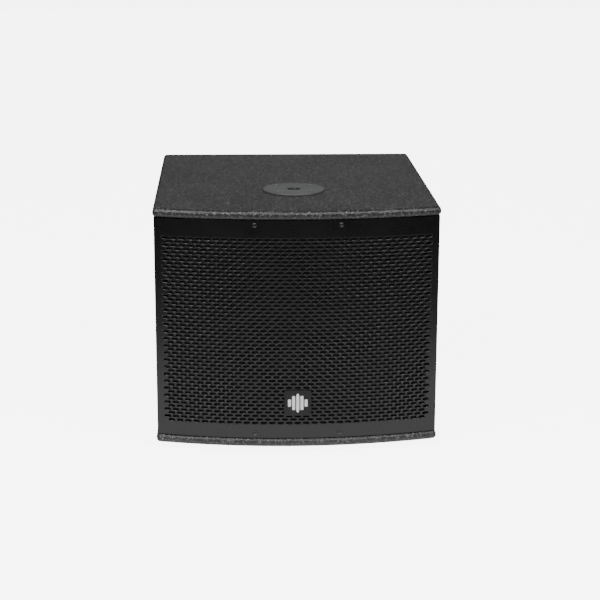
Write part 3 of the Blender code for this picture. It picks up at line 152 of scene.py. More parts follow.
class FinishColours(bpy.types.PropertyGroup):
    paint: colour("Paint", "Structured paint on the boards", (0.0070, 0.0070, 0.0073))
    # The paint's light colour: a painted highlight on its grains' tops, and in part its lighter patches and
    # lumps.
    paint_highlight_and_mottle: colour("Paint highlights", "Tops of the paint's grains", (0.150, 0.150, 0.154))
    grille: colour("Grille", "Powder coat on the grille", (0.0050, 0.0050, 0.0052))
    plate: colour("Stand plate", "Coat on the stand plate", (0.098, 0.099, 0.101))
    screw: colour("Screws", "Black zinc", (0.100, 0.100, 0.103))
    badge: colour("Badge", "Badge plate", (0.0055, 0.0055, 0.0058))
    mark: colour("Mark", "White print and the badge's bars", (0.90, 0.90, 0.89))
    moulding: colour("Moulding", "Black plastic", (0.020, 0.020, 0.021))
    amp: colour("Amplifier", "Amplifier plate", (0.016, 0.016, 0.017))
    rubber: colour("Rubber", "Feet and surround", (0.013, 0.013, 0.013))


class StageSettings(bpy.types.PropertyGroup):
    floor: colour("Table", "Pale studio table", (0.88, 0.88, 0.88))
    table: length("Table radius", "How far the pale table reaches before its reflections darken", 0.75)
    lens: FloatProperty(name="Lens", description="Focal length", default=98.478, unit="CAMERA", min=1)
    rear: FloatProperty(name="Rear light", description="Power of the softbox behind", default=1.4, min=0)
    glow: FloatProperty(name="Table glow", description="Light that the table gives off", default=0.32, min=0)
    fill: FloatProperty(name="Fill light", description="Power of the two front softboxes", default=30, min=0)
    room: FloatProperty(name="Room", description="How much light the room itself gives", default=0.10, min=0)
    backdrop: FloatProperty(name="Backdrop", description="How bright the backdrop looks", default=6, min=0)


class CabinetSettings(bpy.types.PropertyGroup):
    boards: PointerProperty(type=BoardSettings)
    grille: PointerProperty(type=GrilleSettings)
    badge: PointerProperty(type=BadgeSettings)
    colours: PointerProperty(type=FinishColours)
    stage: PointerProperty(type=StageSettings)


def settings():
    return bpy.context.scene.bass_cabinet


# Shader groups


def new_group(name, inputs, outputs):
    """An empty shader group with named sockets, and its input and output nodes."""
    tree = bpy.data.node_groups.new(name, "ShaderNodeTree")
    for label, kind, value in inputs:
        socket = tree.interface.new_socket(label, in_out="INPUT", socket_type="NodeSocket" + kind)
        if value is not None:
            socket.default_value = value
    for label, kind in outputs:
        tree.interface.new_socket(label, in_out="OUTPUT", socket_type="NodeSocket" + kind)
    return tree, tree.nodes.new("NodeGroupInput"), tree.nodes.new("NodeGroupOutput")


def link(tree, source, target):
    tree.links.new(source, target)


def noise_node(tree, vector, scale, detail=3.0, rough=0.5):
    node = tree.nodes.new("ShaderNodeTexNoise")
    node.inputs["Detail"].default_value = detail
    node.inputs["Roughness"].default_value = rough
    link(tree, vector, node.inputs["Vector"])
    if isinstance(scale, (int, float)):
        node.inputs["Scale"].default_value = scale
    else:
        link(tree, scale, node.inputs["Scale"])
    return node.outputs["Fac"]


def math_node(tree, operation, first, second=0.0, clamp=False):
    node = tree.nodes.new("ShaderNodeMath")
    node.operation = operation
    node.use_clamp = clamp
    for socket, value in zip(node.inputs, (first, second)):
        if isinstance(value, (int, float)):
            socket.default_value = value
        else:
            link(tree, value, socket)
    return node.outputs[0]


def range_node(tree, value, low, high, to_low=0.0, to_high=1.0):
    node = tree.nodes.new("ShaderNodeMapRange")
    link(tree, value, node.inputs["Value"])
    for label, number in (("From Min", low), ("From Max", high), ("To Min", to_low), ("To Max", to_high)):
        node.inputs[label].default_value = number
    return node.outputs["Result"]


def mix_node(tree, factor, first, second):
    """Mixes two colours, each a socket or a plain colour."""
    node = tree.nodes.new("ShaderNodeMix")
    node.data_type = "RGBA"
    for label, value in (("Factor", factor), ("A", first), ("B", second)):
        kind = "VALUE" if label == "Factor" else "RGBA"
        socket = next(s for s in node.inputs if s.name == label and s.type == kind)
        if isinstance(value, (int, float, tuple)):
            socket.default_value = value
        else:
            link(tree, value, socket)
    return next(s for s in node.outputs if s.type == "RGBA")


def structured_paint_group():
    """Sprayed structure paint: rounded grains in clumps, lighter in broad patches and on higher lumps, with a
    painted highlight on the grains' tops.
    """
    tree, entry, out = new_group(
        "StructuredPaint",
        [
            ("Vector", "Vector", None),
            ("Paint", "Color", (0.04, 0.04, 0.04, 1)),
            ("Highlight", "Color", (0.1, 0.1, 0.1, 1)),
            ("Grain Scale", "Float", 300.0),
        ],
        [("Color", "Color"), ("Roughness", "Float"), ("Height", "Float")],
    )
    vector, paint_in, highlight_and_mottle = (entry.outputs[i] for i in range(3))
    scale = entry.outputs["Grain Scale"]
    cells = tree.nodes.new("ShaderNodeTexVoronoi")
    cells.feature = "SMOOTH_F1"
    cells.inputs["Smoothness"].default_value = 0.5
    link(tree, vector, cells.inputs["Vector"])
    link(tree, scale, cells.inputs["Scale"])
    grains = range_node(tree, cells.outputs["Distance"], 0.05, 0.60, 1.0, 0.0)
    clumps = noise_node(tree, vector, math_node(tree, "MULTIPLY", scale, 0.7), 3.0, 0.6)
    height = math_node(tree, "ADD", math_node(tree, "MULTIPLY", grains, 0.5), clumps)
    # The grains' tops, near the height's highest, take the full light colour as a painted highlight.
    highlight_tops = range_node(tree, height, 0.74, 0.92)
    patches = noise_node(tree, vector, 7.0, 2.0)
    # Broad patches, and the lumps where they stand higher, go part way toward the same light colour.
    mottled = mix_node(tree, range_node(tree, patches, 0.3, 0.7, 0.0, 0.10), paint_in, highlight_and_mottle)
    mottled = mix_node(tree, range_node(tree, clumps, 0.46, 0.62, 0.0, 0.16), mottled, highlight_and_mottle)
    link(tree, mix_node(tree, highlight_tops, mottled, highlight_and_mottle), out.inputs["Color"])
    link(tree, range_node(tree, height, 0.5, 1.1, 0.46, 0.28), out.inputs["Roughness"])
    link(tree, height, out.inputs["Height"])
    return tree


def fine_coat_group():
    """A fine sprayed or moulded skin, with faint handling marks that change its gloss."""
    tree, entry, out = new_group(
        "FineCoat",
        [
            ("Vector", "Vector", None),
            ("Color", "Color", (0.02, 0.02, 0.02, 1)),
            ("Grain Scale", "Float", 1800.0),
            ("Roughness", "Float", 0.45),
            ("Variation", "Float", 0.08),
        ],
        [("Color", "Color"), ("Roughness", "Float"), ("Height", "Float")],
    )
    vector, base = entry.outputs["Vector"], entry.outputs["Color"]
    grain = noise_node(tree, vector, entry.outputs["Grain Scale"], 2.0, 0.55)
    smears = noise_node(tree, vector, 14.0, 5.0, 0.65)
    centred = math_node(tree, "SUBTRACT", smears, 0.5)
    strength = math_node(tree, "MULTIPLY", entry.outputs["Variation"], 4.0)
    change = math_node(tree, "MULTIPLY", centred, strength)
    link(tree, math_node(tree, "ADD", entry.outputs["Roughness"], change, True), out.inputs["Roughness"])
    lighter = tree.nodes.new("ShaderNodeHueSaturation")
    link(tree, base, lighter.inputs["Color"])
    link(tree, range_node(tree, smears, 0.3, 0.7, 0.88, 1.16), lighter.inputs["Value"])
    link(tree, lighter.outputs["Color"], out.inputs["Color"])
    link(tree, grain, out.inputs["Height"])
    return tree


def worked_metal_group():
    """Plated or turned metal: fine lines along one direction over broad tarnish."""
    tree, entry, out = new_group(
        "WorkedMetal",
        [
            ("Vector", "Vector", None),
            ("Color", "Color", (0.5, 0.5, 0.5, 1)),
            ("Roughness", "Float", 0.3),
            ("Line Scale", "Float", 900.0),
        ],
        [("Color", "Color"), ("Roughness", "Float"), ("Height", "Float")],
    )
    stretch = tree.nodes.new("ShaderNodeMapping")
    stretch.inputs["Scale"].default_value = (1.0, 1.0, 0.06)
    link(tree, entry.outputs["Vector"], stretch.inputs["Vector"])
    lines = noise_node(tree, stretch.outputs["Vector"], entry.outputs["Line Scale"], 2.0, 0.6)
    tarnish = noise_node(tree, entry.outputs["Vector"], 30.0, 4.0, 0.6)
    shaded = tree.nodes.new("ShaderNodeHueSaturation")
    link(tree, entry.outputs["Color"], shaded.inputs["Color"])
    link(tree, range_node(tree, tarnish, 0.3, 0.7, 0.82, 1.1), shaded.inputs["Value"])
    link(tree, shaded.outputs["Color"], out.inputs["Color"])
    wobble = range_node(tree, lines, 0.3, 0.7, -0.06, 0.10)
    link(tree, math_node(tree, "ADD", entry.outputs["Roughness"], wobble, True), out.inputs["Roughness"])
    link(tree, lines, out.inputs["Height"])
    return tree


def fibre_group():
    """Pressed paper, felt, foam or cloth: tangled fibres with pores, darker in the pores as painted shade."""
    tree, entry, out = new_group(
        "Fibre",
        [
            ("Vector", "Vector", None),
            ("Color", "Color", (0.02, 0.02, 0.02, 1)),
            ("Pore Color", "Color", (0.004, 0.004, 0.004, 1)),
            ("Fibre Scale", "Float", 500.0),
        ],
        [("Color", "Color"), ("Height", "Float")],
    )
    vector, scale = entry.outputs["Vector"], entry.outputs["Fibre Scale"]
    pores = tree.nodes.new("ShaderNodeTexVoronoi")
    link(tree, vector, pores.inputs["Vector"])
    link(tree, scale, pores.inputs["Scale"])
    strands = noise_node(tree, vector, math_node(tree, "MULTIPLY", scale, 2.0), 5.0, 0.7)
    depth = range_node(tree, pores.outputs["Distance"], 0.1, 0.6)
    blended = math_node(tree, "MULTIPLY", depth, math_node(tree, "ADD", strands, 0.5))
    # The darker pore colour fills the pores' hollows, the low points of the height: painted shade.
    mixed = mix_node(tree, blended, entry.outputs["Pore Color"], entry.outputs["Color"])
    link(tree, mixed, out.inputs["Color"])
    link(tree, blended, out.inputs["Height"])
    return tree


GROUPS = {
    "StructuredPaint": structured_paint_group,
    "FineCoat": fine_coat_group,
    "WorkedMetal": worked_metal_group,
    "Fibre": fibre_group,
}


def group(name):
    return bpy.data.node_groups.get(name) or GROUPS[name]()


def coat(colour, scale, roughness, variation, bump=None, shader=None):
    """A fine sprayed or moulded skin."""
    values = {"Color": colour, "Grain Scale": scale, "Roughness": roughness, "Variation": variation}
    return "FineCoat", values, bump, shader or {}


def metal(colour, roughness, scale, bump=None, metallic=1.0):
    """Worked metal, or wood and tape with a lengthwise grain when metallic is 0."""
    values = {"Color": colour, "Roughness": roughness, "Line Scale": scale}
    return "WorkedMetal", values, bump, {"Metallic": metallic}


def fibres(colour, pore, scale, bump, shader):
    """Pressed, felted or foamed stuff, with a darker colour as painted shade in its pores."""
    return "Fibre", {"Color": colour, "Pore Color": pore, "Fibre Scale": scale}, bump, shader


# Each finish is a shader group, its inputs, the bump's strength and depth, and numbers for the main
# shader. A colour that is a word is one of the colours in the settings.
FINISHES = {
    # The structured paint's light colour gives the painted highlight on its grains' tops.
    "structured_paint": (
        "StructuredPaint",
        {"Paint": "paint", "Highlight": "paint_highlight_and_mottle", "Grain Scale": 300.0},
        (1.0, 0.0010),
        {"Specular IOR Level": 0.8},
    ),
    "grille_coat": coat("grille", 2400.0, 0.28, 0.03, (0.12, 0.00004), {"Specular IOR Level": 0.7}),
    "plate_coat": coat("plate", 1500.0, 0.48, 0.06, (0.35, 0.00006)),
    "badge_face": coat("badge", 900.0, 0.46, 0.04, (0.08, 0.00003)),
    "white_print": coat("mark", 1600.0, 0.40, 0.03, (0.1, 0.00003)),
    "amp_coat": coat("amp", 1700.0, 0.46, 0.05, (0.3, 0.00005)),
    "moulding": coat("moulding", 1900.0, 0.50, 0.05, (0.4, 0.00006)),
    "glossy_moulding": coat("moulding", 700.0, 0.22, 0.05, (0.06, 0.00003)),
    "soft_rubber": coat("rubber", 1200.0, 0.72, 0.06, (0.3, 0.00006)),
    "cast_black": coat((0.030, 0.030, 0.032), 650.0, 0.5, 0.1, (0.6, 0.0002), {"Metallic": 0.4}),
    "ferrite": coat((0.045, 0.044, 0.046), 900.0, 0.6, 0.1, (0.4, 0.0001)),
    "circuit_green": coat((0.012, 0.11, 0.045), 260.0, 0.35, 0.08, (0.3, 0.0001)),
    "green_lens": coat(
        (0.06, 0.55, 0.14), 500.0, 0.12, 0.03, None, {"Coat Weight": 0.6, "Coat Roughness": 0.05}
    ),
    "black_zinc": metal("screw", 0.32, 1500.0, (0.15, 0.00003)),
    "anodised": metal((0.028, 0.028, 0.030), 0.38, 1200.0, (0.2, 0.00003), 0.85),
    "plated_steel": metal((0.56, 0.57, 0.58), 0.28, 900.0, (0.15, 0.00003)),
    "contact_gold": metal((0.83, 0.62, 0.28), 0.22, 2000.0),
    "copper": metal((0.72, 0.36, 0.20), 0.3, 2600.0, (0.4, 0.00008)),
    "bare_ply": metal((0.50, 0.34, 0.18), 0.70, 240.0, (0.4, 0.0002), 0.0),
    "winding_tape": metal((0.62, 0.46, 0.10), 0.4, 420.0, (0.5, 0.0003), 0.0),
    # The second colour of each fibre finish is the painted shade in its pores.
    "open_foam": fibres(
        (0.010, 0.010, 0.010),
        (0.002, 0.002, 0.002),
        900.0,
        (0.9, 0.0004),
        {"Roughness": 0.95, "Specular IOR Level": 0.15},
    ),
    "cone_paper": fibres(
        (0.030, 0.030, 0.030), (0.012, 0.012, 0.012), 700.0, (0.5, 0.0002), {"Roughness": 0.85}
    ),
    "spider_cloth": fibres(
        (0.44, 0.29, 0.10), (0.20, 0.12, 0.04), 1100.0, (0.6, 0.0002), {"Roughness": 0.9}
    ),
}


def material(name):
    """The finish with this name, made when it is first asked for."""
    # The solids' own plain materials have some of these names, so each finish gets a longer one.
    made = bpy.data.materials.get(f"{name}_finish")
    if made:
        return made
    group_name, values, bump, shader_values = FINISHES[name]
    made = bpy.data.materials.new(f"{name}_finish")
    made.use_nodes = True
    tree = made.node_tree
    shader = tree.nodes["Principled BSDF"]
    place = tree.nodes.new("ShaderNodeTexCoord")
    grain = tree.nodes.new("ShaderNodeGroup")
    grain.node_tree = group(group_name)
    link(tree, place.outputs["Object"], grain.inputs["Vector"])
    for label, value in values.items():
        if isinstance(value, str):
            value = tuple(getattr(settings().colours, value))
        grain.inputs[label].default_value = (*value, 1) if isinstance(value, tuple) else value
    link(tree, grain.outputs["Color"], shader.inputs["Base Color"])
    if "Roughness" in grain.outputs:
        link(tree, grain.outputs["Roughness"], shader.inputs["Roughness"])
    if bump:
        relief = tree.nodes.new("ShaderNodeBump")
        relief.inputs["Strength"].default_value, relief.inputs["Distance"].default_value = bump
        link(tree, grain.outputs["Height"], relief.inputs["Height"])
        link(tree, relief.outputs["Normal"], shader.inputs["Normal"])
    for label, value in shader_values.items():
        shader.inputs[label].default_value = value
    return made


# Mesh tools


FORWARD, BACKWARD = Vector((0, -1, 0)), Vector((0, 1, 0))
DOWNWARD = Vector((0, 0, -1))


def facing(direction, place, roll=0.0):
    """A matrix whose own +Z points along the direction and whose own +Y is up, or back on a flat top."""
    out = Vector(direction).normalized()
    up = Vector((0, 1, 0)) if abs(out.z) > 0.9 else Vector((0, 0, 1))
    side = up.cross(out).normalized()
    up = out.cross(side)
    turn = Matrix((side, up, out)).transposed().to_4x4()
    return Matrix.Translation(place) @ turn @ Matrix.Rotation(roll, 4, "Z")


def ring_faces(bm, lower, upper):
    """Joins two loops of equal length with quads."""
    count = len(lower)
    for i in range(count):
        j = (i + 1) % count
        bm.faces.new((lower[i], lower[j], upper[j], upper[i]))


def loft(bm, loops, close_start=True, close_end=True):
    """A skin through loops of points, each turning anticlockwise as seen from the last loop's side."""
    rings = [[bm.verts.new(point) for point in loop] for loop in loops]
    for lower, upper in zip(rings, rings[1:]):
        ring_faces(bm, lower, upper)
    if close_start:
        bm.faces.new(reversed(rings[0]))
    if close_end:
        bm.faces.new(rings[-1])


def hoop(bm, loops):
    """A closed ring: a skin through the loops and back to the first."""
    rings = [[bm.verts.new(point) for point in loop] for loop in loops]
    for lower, upper in zip(rings, rings[1:] + rings[:1]):
        ring_faces(bm, lower, upper)


def turned_ring(bm, profile, steps=96):
    """A ring turned from a closed profile of (radius, height) points."""
    hoop(bm, [circle(radius, height, steps) for radius, height in profile])


def circle(radius, height, steps):
    return [
        (radius * math.cos(2 * math.pi * i / steps), radius * math.sin(2 * math.pi * i / steps), height)
        for i in range(steps)
    ]


def lathe(bm, profile, steps=64):
    """Turns (radius, height) points, from the underside's axis round the outside to the top's axis."""
    rings = []
    for radius, height in profile:
        if radius <= 0:
            rings.append([bm.verts.new((0, 0, height))])
        else:
            rings.append([bm.verts.new(point) for point in circle(radius, height, steps)])
    for lower, upper in zip(rings, rings[1:]):
        if len(lower) == 1:
            for i in range(steps):
                bm.faces.new((lower[0], upper[(i + 1) % steps], upper[i]))
        elif len(upper) == 1:
            for i in range(steps):
                bm.faces.new((lower[i], lower[(i + 1) % steps], upper[0]))
        else:
            ring_faces(bm, lower, upper)
    return rings


def rounded_loop(width, depth, radius, height, steps=64):
    """A rounded rectangle, one point for each equal angle from its middle."""
    half_x, half_y = width / 2, depth / 2
    radius = min(radius, half_x, half_y)
    points = []
    for i in range(steps):
        angle = 2 * math.pi * (i + 0.5) / steps
        ray = Vector((math.cos(angle), math.sin(angle)))
        points.append((*edge_point(ray, half_x, half_y, radius), height))
    return points


def rounded_loops(rows, steps):
    """A rounded rectangle for each (width, depth, radius, height)."""
    return [rounded_loop(*row, steps) for row in rows]


def edge_point(ray, half_x, half_y, radius):
    """Where a ray from the middle meets a rounded rectangle."""
    reach = min(half_x / max(abs(ray.x), 1e-9), half_y / max(abs(ray.y), 1e-9))
    hit = ray * reach
    corner = Vector((half_x - radius, half_y - radius))
    if abs(hit.x) <= corner.x or abs(hit.y) <= corner.y:
        return hit.x, hit.y
    centre = Vector((math.copysign(corner.x, ray.x), math.copysign(corner.y, ray.y)))
    along = ray.dot(centre)
    spare = radius**2 - (centre.length_squared - along**2)
    reach = along + math.sqrt(max(spare, 0))
    return ray.x * reach, ray.y * reach


def soft_slab(bm, width, depth, radius, low, high, edge, steps=64):
    """A rounded plate with a softened upper edge."""
    rows = [
        (width, depth, radius, low),
        (width, depth, radius, high - edge),
        (width - 0.6 * edge, depth - 0.6 * edge, radius, high - 0.3 * edge),
        (width - 2 * edge, depth - 2 * edge, radius, high),
    ]
    loft(bm, rounded_loops(rows, steps))


def add_block(bm, size, centre, edge=0.0):
    """A block with softened edges, added to the mesh."""
    made = bmesh.ops.create_cube(bm, size=1, matrix=Matrix.Translation(centre) @ Matrix.Diagonal((*size, 1)))
    if edge:
        verts = set(made["verts"])
        edges = [e for e in bm.edges if set(e.verts) <= verts]
        bmesh.ops.bevel(bm, geom=edges, offset=edge, segments=2, affect="EDGES", profile=0.6)


def mesh_of(bm, name="part"):
    """The bmesh as a mesh, its faces turned outward."""
    bmesh.ops.recalc_face_normals(bm, faces=bm.faces)
    mesh = bpy.data.meshes.new(name)
    bm.to_mesh(mesh)
    bm.free()
    return mesh


def mesh_from(build):
    """A mesh from a function that fills a bmesh."""
    bm = bmesh.new()
    build(bm)
    return mesh_of(bm)


def append(bm, part):
    """Adds one bmesh to another."""
    mesh = mesh_of(part)
    bm.from_mesh(mesh)
    bpy.data.meshes.remove(mesh)


def finish_piece(name, bm, *finish_and_place, **more):
    """Makes the bmesh a finished piece, as finish_mesh does."""
    return finish_mesh(name, mesh_of(bm, name), *finish_and_place, **more)


def finish_mesh(name, mesh, finish, slot, body=SHELL, place=None, replaces=(), sharp=35):
    """Makes the mesh an object with its finish, sets it in place and lets it ride on its body.

    Edges sharper than this many degrees stay crisp.
    """
    mesh.shade_smooth()
    mesh.set_sharp_from_angle(angle=math.radians(sharp))
    mesh.materials.clear()
    mesh.materials.append(material(finish))
    obj = bpy.data.objects.new(name, mesh)
    bpy.context.scene.collection.objects.link(obj)
    if place is not None:
        obj.matrix_world = place
    if body:
        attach(obj, body)
    if replaces:
        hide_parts(*replaces)
    return obj


def cut_mesh(mesh, cutters):
    """The mesh with each cutter mesh taken out of it."""
    body = bpy.data.objects.new("cutting", mesh)
    bpy.context.scene.collection.objects.link(body)
    helpers = [body]
    for number, cutter in enumerate(cutters):
        helper = bpy.data.objects.new(f"cutter_{number}", cutter)
        bpy.context.scene.collection.objects.link(helper)
        helpers.append(helper)
        modifier = body.modifiers.new(helper.name, "BOOLEAN")
        modifier.operation = "DIFFERENCE"
        modifier.solver = "EXACT"
        modifier.object = helper
    bpy.context.view_layer.update()
    graph = bpy.context.evaluated_depsgraph_get()
    result = bpy.data.meshes.new_from_object(body.evaluated_get(graph))
    if not result.polygons:
        raise RuntimeError("a cut left nothing of its mesh")
    for helper in helpers:
        old = helper.data
        bpy.data.objects.remove(helper)
        bpy.data.meshes.remove(old)
    return result


def merged(meshes_and_places):
    """One mesh from several, each moved by its own matrix."""
    bm = bmesh.new()
    for mesh, place in meshes_and_places:
        moved = mesh.copy()
        moved.transform(place)
        bm.from_mesh(moved)
        bpy.data.meshes.remove(moved)
    mesh = bpy.data.meshes.new("joined")
    bm.to_mesh(mesh)
    bm.free()
    return mesh


def coat_node(name, finish):
    """Gives its finish to a solid that is shown as it is."""
    mesh = frame["nodes"][name].data
    mesh.materials.clear()
    mesh.materials.append(material(finish))


# Screws


def cross_cutters(radius, depth, top):
    """Two tapered bars at right angles, for a cross recess."""

    def bar(bm, turn):
        loops = []
        for height, half_x, half_y in (
            (top - depth, radius * 0.30, radius * 0.11),
            (top + depth * 0.2, radius * 0.66, radius * 0.17),
        ):
            corners = ((-half_x, -half_y), (half_x, -half_y), (half_x, half_y), (-half_x, half_y))
            spin = Matrix.Rotation(turn, 4, "Z")
            loops.append([spin @ Vector((x, y, height)) for x, y in corners])
        loft(bm, loops)

    return [mesh_from(lambda bm, turn=turn: bar(bm, turn)) for turn in (0, math.pi / 2)]


def arc_profile(radius, low, high, steps=5):
    """Points over a domed head from its rim to just short of its axis."""
    points = []
    for i in range(steps):
        angle = math.pi / 2 * i / steps
        points.append((radius * math.cos(angle), low + (high - low) * math.sin(angle)))
    return points


def pan_screw(radius, height, shank=0.0, shank_radius=0.0017):
    """A domed head with a cross recess, its underside at height 0."""
    rim = height * 0.35

    def build(bm):
        profile = [(0, -shank), (shank_radius, -shank), (shank_radius, 0)] if shank else [(0, 0)]
        profile += [(radius * 0.97, 0), (radius, rim * 0.3), *arc_profile(radius, rim, height), (0, height)]
        lathe(bm, profile, 40)

    return cut_mesh(mesh_from(build), cross_cutters(radius, height * 0.6, height))


def countersunk_screw(radius, depth, shank, shank_radius):
    """A flat head with a cross recess, its upper face at height 0."""

    def build(bm):
        profile = [
            (0, -shank), (shank_radius, -shank), (shank_radius, -depth), (radius, -0.0003),
            (radius, -0.0001), (radius - 0.0002, 0), (0, 0),
        ]
        lathe(bm, profile, 40)

    return cut_mesh(mesh_from(build), cross_cutters(radius, depth * 0.7, 0))


def screw_set(name, mesh, places):
    """Several like screws made one piece."""
    made = merged([(mesh, place) for place in places])
    finish_mesh(name, made, "black_zinc", "screw_steel")


# Boards and grille


def bow_circle():
    """Radius of the boards' bowed front and the distance of its centre behind y = 0."""
    bow = settings().boards.bow
    radius = (HALF_WIDTH**2 + bow**2) / (2 * bow)
    return radius, FRONT_Y + radius


def board_loop(inset, height):
    """The board's outline, moved in by the inset, with rounded corners."""
    boards = settings().boards
    radius, centre_y = bow_circle()
    corner = boards.round_over
    steps = 8
    x = HALF_WIDTH - corner
    front = Vector((x, centre_y - math.sqrt((radius - corner) ** 2 - x**2)))
    rear_y = BACK_Y - corner
    lean = math.atan2(front.y - centre_y, front.x)
    points = []
    reach = math.pi / 2 + lean
    for i in range(1, boards.bow_steps):
        angle = -math.pi / 2 - reach + 2 * reach * i / boards.bow_steps
        points.append(((radius - inset) * math.cos(angle), centre_y + (radius - inset) * math.sin(angle)))
    corners = (
        ((x, front.y), lean, 0),
        ((x, rear_y), 0, math.pi / 2),
        ((-x, rear_y), math.pi / 2, math.pi),
        ((-x, front.y), math.pi, math.pi - lean),
    )
    small = corner - inset
    for centre, start, end in corners:
        for i in range(steps + 1):
            angle = start + (end - start) * i / steps
            points.append((centre[0] + small * math.cos(angle), centre[1] + small * math.sin(angle)))
    return [(px, py, height) for px, py in points]


def end_board(name, low_z):
    """A top or bottom board whose outer edges are all rounded."""
    radius = min(settings().boards.round_over, BOARD / 2) * 0.999
    steps = 8
    loops = []
    for i in range(steps + 1):
        angle = math.pi / 2 * (1 - i / steps)
        loops.append(board_loop(radius * (1 - math.cos(angle)), low_z + radius * (1 - math.sin(angle))))
    for i in range(steps + 1):
        angle = math.pi / 2 * i / steps
        height = low_z + BOARD - radius * (1 - math.sin(angle))
        loops.append(board_loop(radius * (1 - math.cos(angle)), height))
    bm = bmesh.new()
    loft(bm, loops)
    finish_piece(f"{name}_board", bm, "structured_paint", "structured_paint", replaces=(name,), sharp=50)


class CABINET_OT_boards(bpy.types.Operator):
    """Build the rounded end boards and paint the others"""

    bl_idname = "cabinet.boards"
    bl_label = "Boards"

    def execute(self, context):
        end_board("top_panel", TOP_LOW.z)
        end_board("bottom_panel", node_low("bottom_panel").z)
        sides = ("left_side_panel", "right_side_panel", "rear_panel", "baffle")
        for name in (*sides, "grille_batten_top", "grille_batten_bottom"):
            coat_node(name, "structured_paint")
        coat_node("window_brace", "bare_ply")
        return {"FINISHED"}


def grille_path():
    """Length from the middle to the bend, the bend's arc and the return, and the sheet's radius."""
    grille = settings().grille
    bow_radius, centre_y = bow_circle()
    radius = bow_radius - GRILLE_SETBACK
    half = GRILLE_HIGH.x
    lean = math.asin((half - grille.bend) / (radius - grille.bend))
    front = radius * lean
    bend = grille.bend * (math.pi / 2 - lean)
    end_y = centre_y - radius * math.cos(lean) + grille.bend * math.cos(lean)
    straight = GRILLE_HIGH.y - end_y
    return front, bend, straight, radius, lean, centre_y


def on_grille(s, depth):
    """The place this far behind the sheet's outer face, at this length from its middle line."""
    front, bend, _, radius, lean, centre_y = grille_path()
    corner = settings().grille.bend
    side = math.copysign(1, s)
    along = abs(s)
    if along <= front:
        angle = along / radius
        reach = radius - depth
        return side * reach * math.sin(angle), centre_y - reach * math.cos(angle)
    turn = lean + min(along - front, bend) / corner
    x = (radius - corner) * math.sin(lean) + (corner - depth) * math.sin(turn)
    y = centre_y - (radius - corner) * math.cos(lean) - (corner - depth) * math.cos(turn)
    return side * x, y + max(0, along - front - bend)


SLOT_SHAPE = (
    (-0.910, 0.65), (-0.696, 1.0), (0.0, 1.0), (0.696, 1.0), (0.910, 0.65), (1.0, 0.0), (0.910, -0.65),
    (0.696, -1.0), (0.0, -1.0), (-0.696, -1.0), (-0.910, -0.65), (-1.0, 0.0),
)
CELL_SHAPE = (
    (-1.0, 1.0), (-0.5, 1.0), (0.0, 1.0), (0.5, 1.0), (1.0, 1.0), (1.0, 0.0), (1.0, -1.0), (0.5, -1.0),
    (0.0, -1.0), (-0.5, -1.0), (-1.0, -1.0), (-1.0, 0.0),
)


class Sheet:
    """A bowed sheet with two faces. A point is a length along, a height and a depth, and is made once."""

    def __init__(self):
        self.bm = bmesh.new()
        self.made = {}
        self.thickness = settings().grille.sheet

    def vert(self, s, z, depth):
        key = (round(s * 1e6), round(z * 1e6), round(depth * 1e6))
        if key not in self.made:
            x, y = on_grille(s, depth)
            self.made[key] = self.bm.verts.new((x, y, z))
        return self.made[key]

    def face(self, points):
        """The same plain face on the front and, turned round, on the back."""
        self.bm.faces.new([self.vert(s, z, 0) for s, z in points])
        self.bm.faces.new([self.vert(s, z, self.thickness) for s, z in reversed(points)])

    def band(self, ring, next_ring, depth, next_depth):
        """Quads from one closed ring of points to the next."""
        count = len(ring)
        for i in range(count):
            j = (i + 1) % count
            corners = (
                (ring[i], depth), (next_ring[i], next_depth), (next_ring[j], next_depth),
                (ring[j], depth),
            )
            self.bm.faces.new([self.vert(*point, deep) for point, deep in corners])

    def edge(self, one, other):
        """The sheet's own thickness between two points of its edge."""
        corners = ((one, 0), (other, 0), (other, self.thickness), (one, self.thickness))
        self.bm.faces.new([self.vert(*point, deep) for point, deep in corners])


def slot_cell(sheet, s, z, half_s, half_z):
    """One slot with its softened front edge, and the web round it."""
    grille = settings().grille

    def slot(grow):
        half_length, half_height = grille.slot_length / 2 + grow, grille.slot_height / 2 + grow
        return [(s + a * half_length, z + b * half_height) for a, b in SLOT_SHAPE]

    cell = [(s + a * half_s, z + b * half_z) for a, b in CELL_SHAPE]
    mouth, way = slot(grille.edge), slot(0)
    sheet.band(cell, mouth, 0, 0)
    sheet.band(mouth, way, 0, grille.edge)
    sheet.band(way, way, grille.edge, sheet.thickness)
    sheet.band(way, cell, sheet.thickness, sheet.thickness)


def plain_half_cell(sheet, s, z, half_s, half_z, side):
    """The plain half that ends a short row. s is the edge of the slotted field."""
    near = s - side * half_s
    middle = s - side * half_s / 2
    points = [
        (s, z + half_z), (middle, z + half_z), (near, z + half_z), (near, z), (near, z - half_z),
        (middle, z - half_z), (s, z - half_z), (s, z),
    ]
    sheet.face(points if side > 0 else points[::-1])


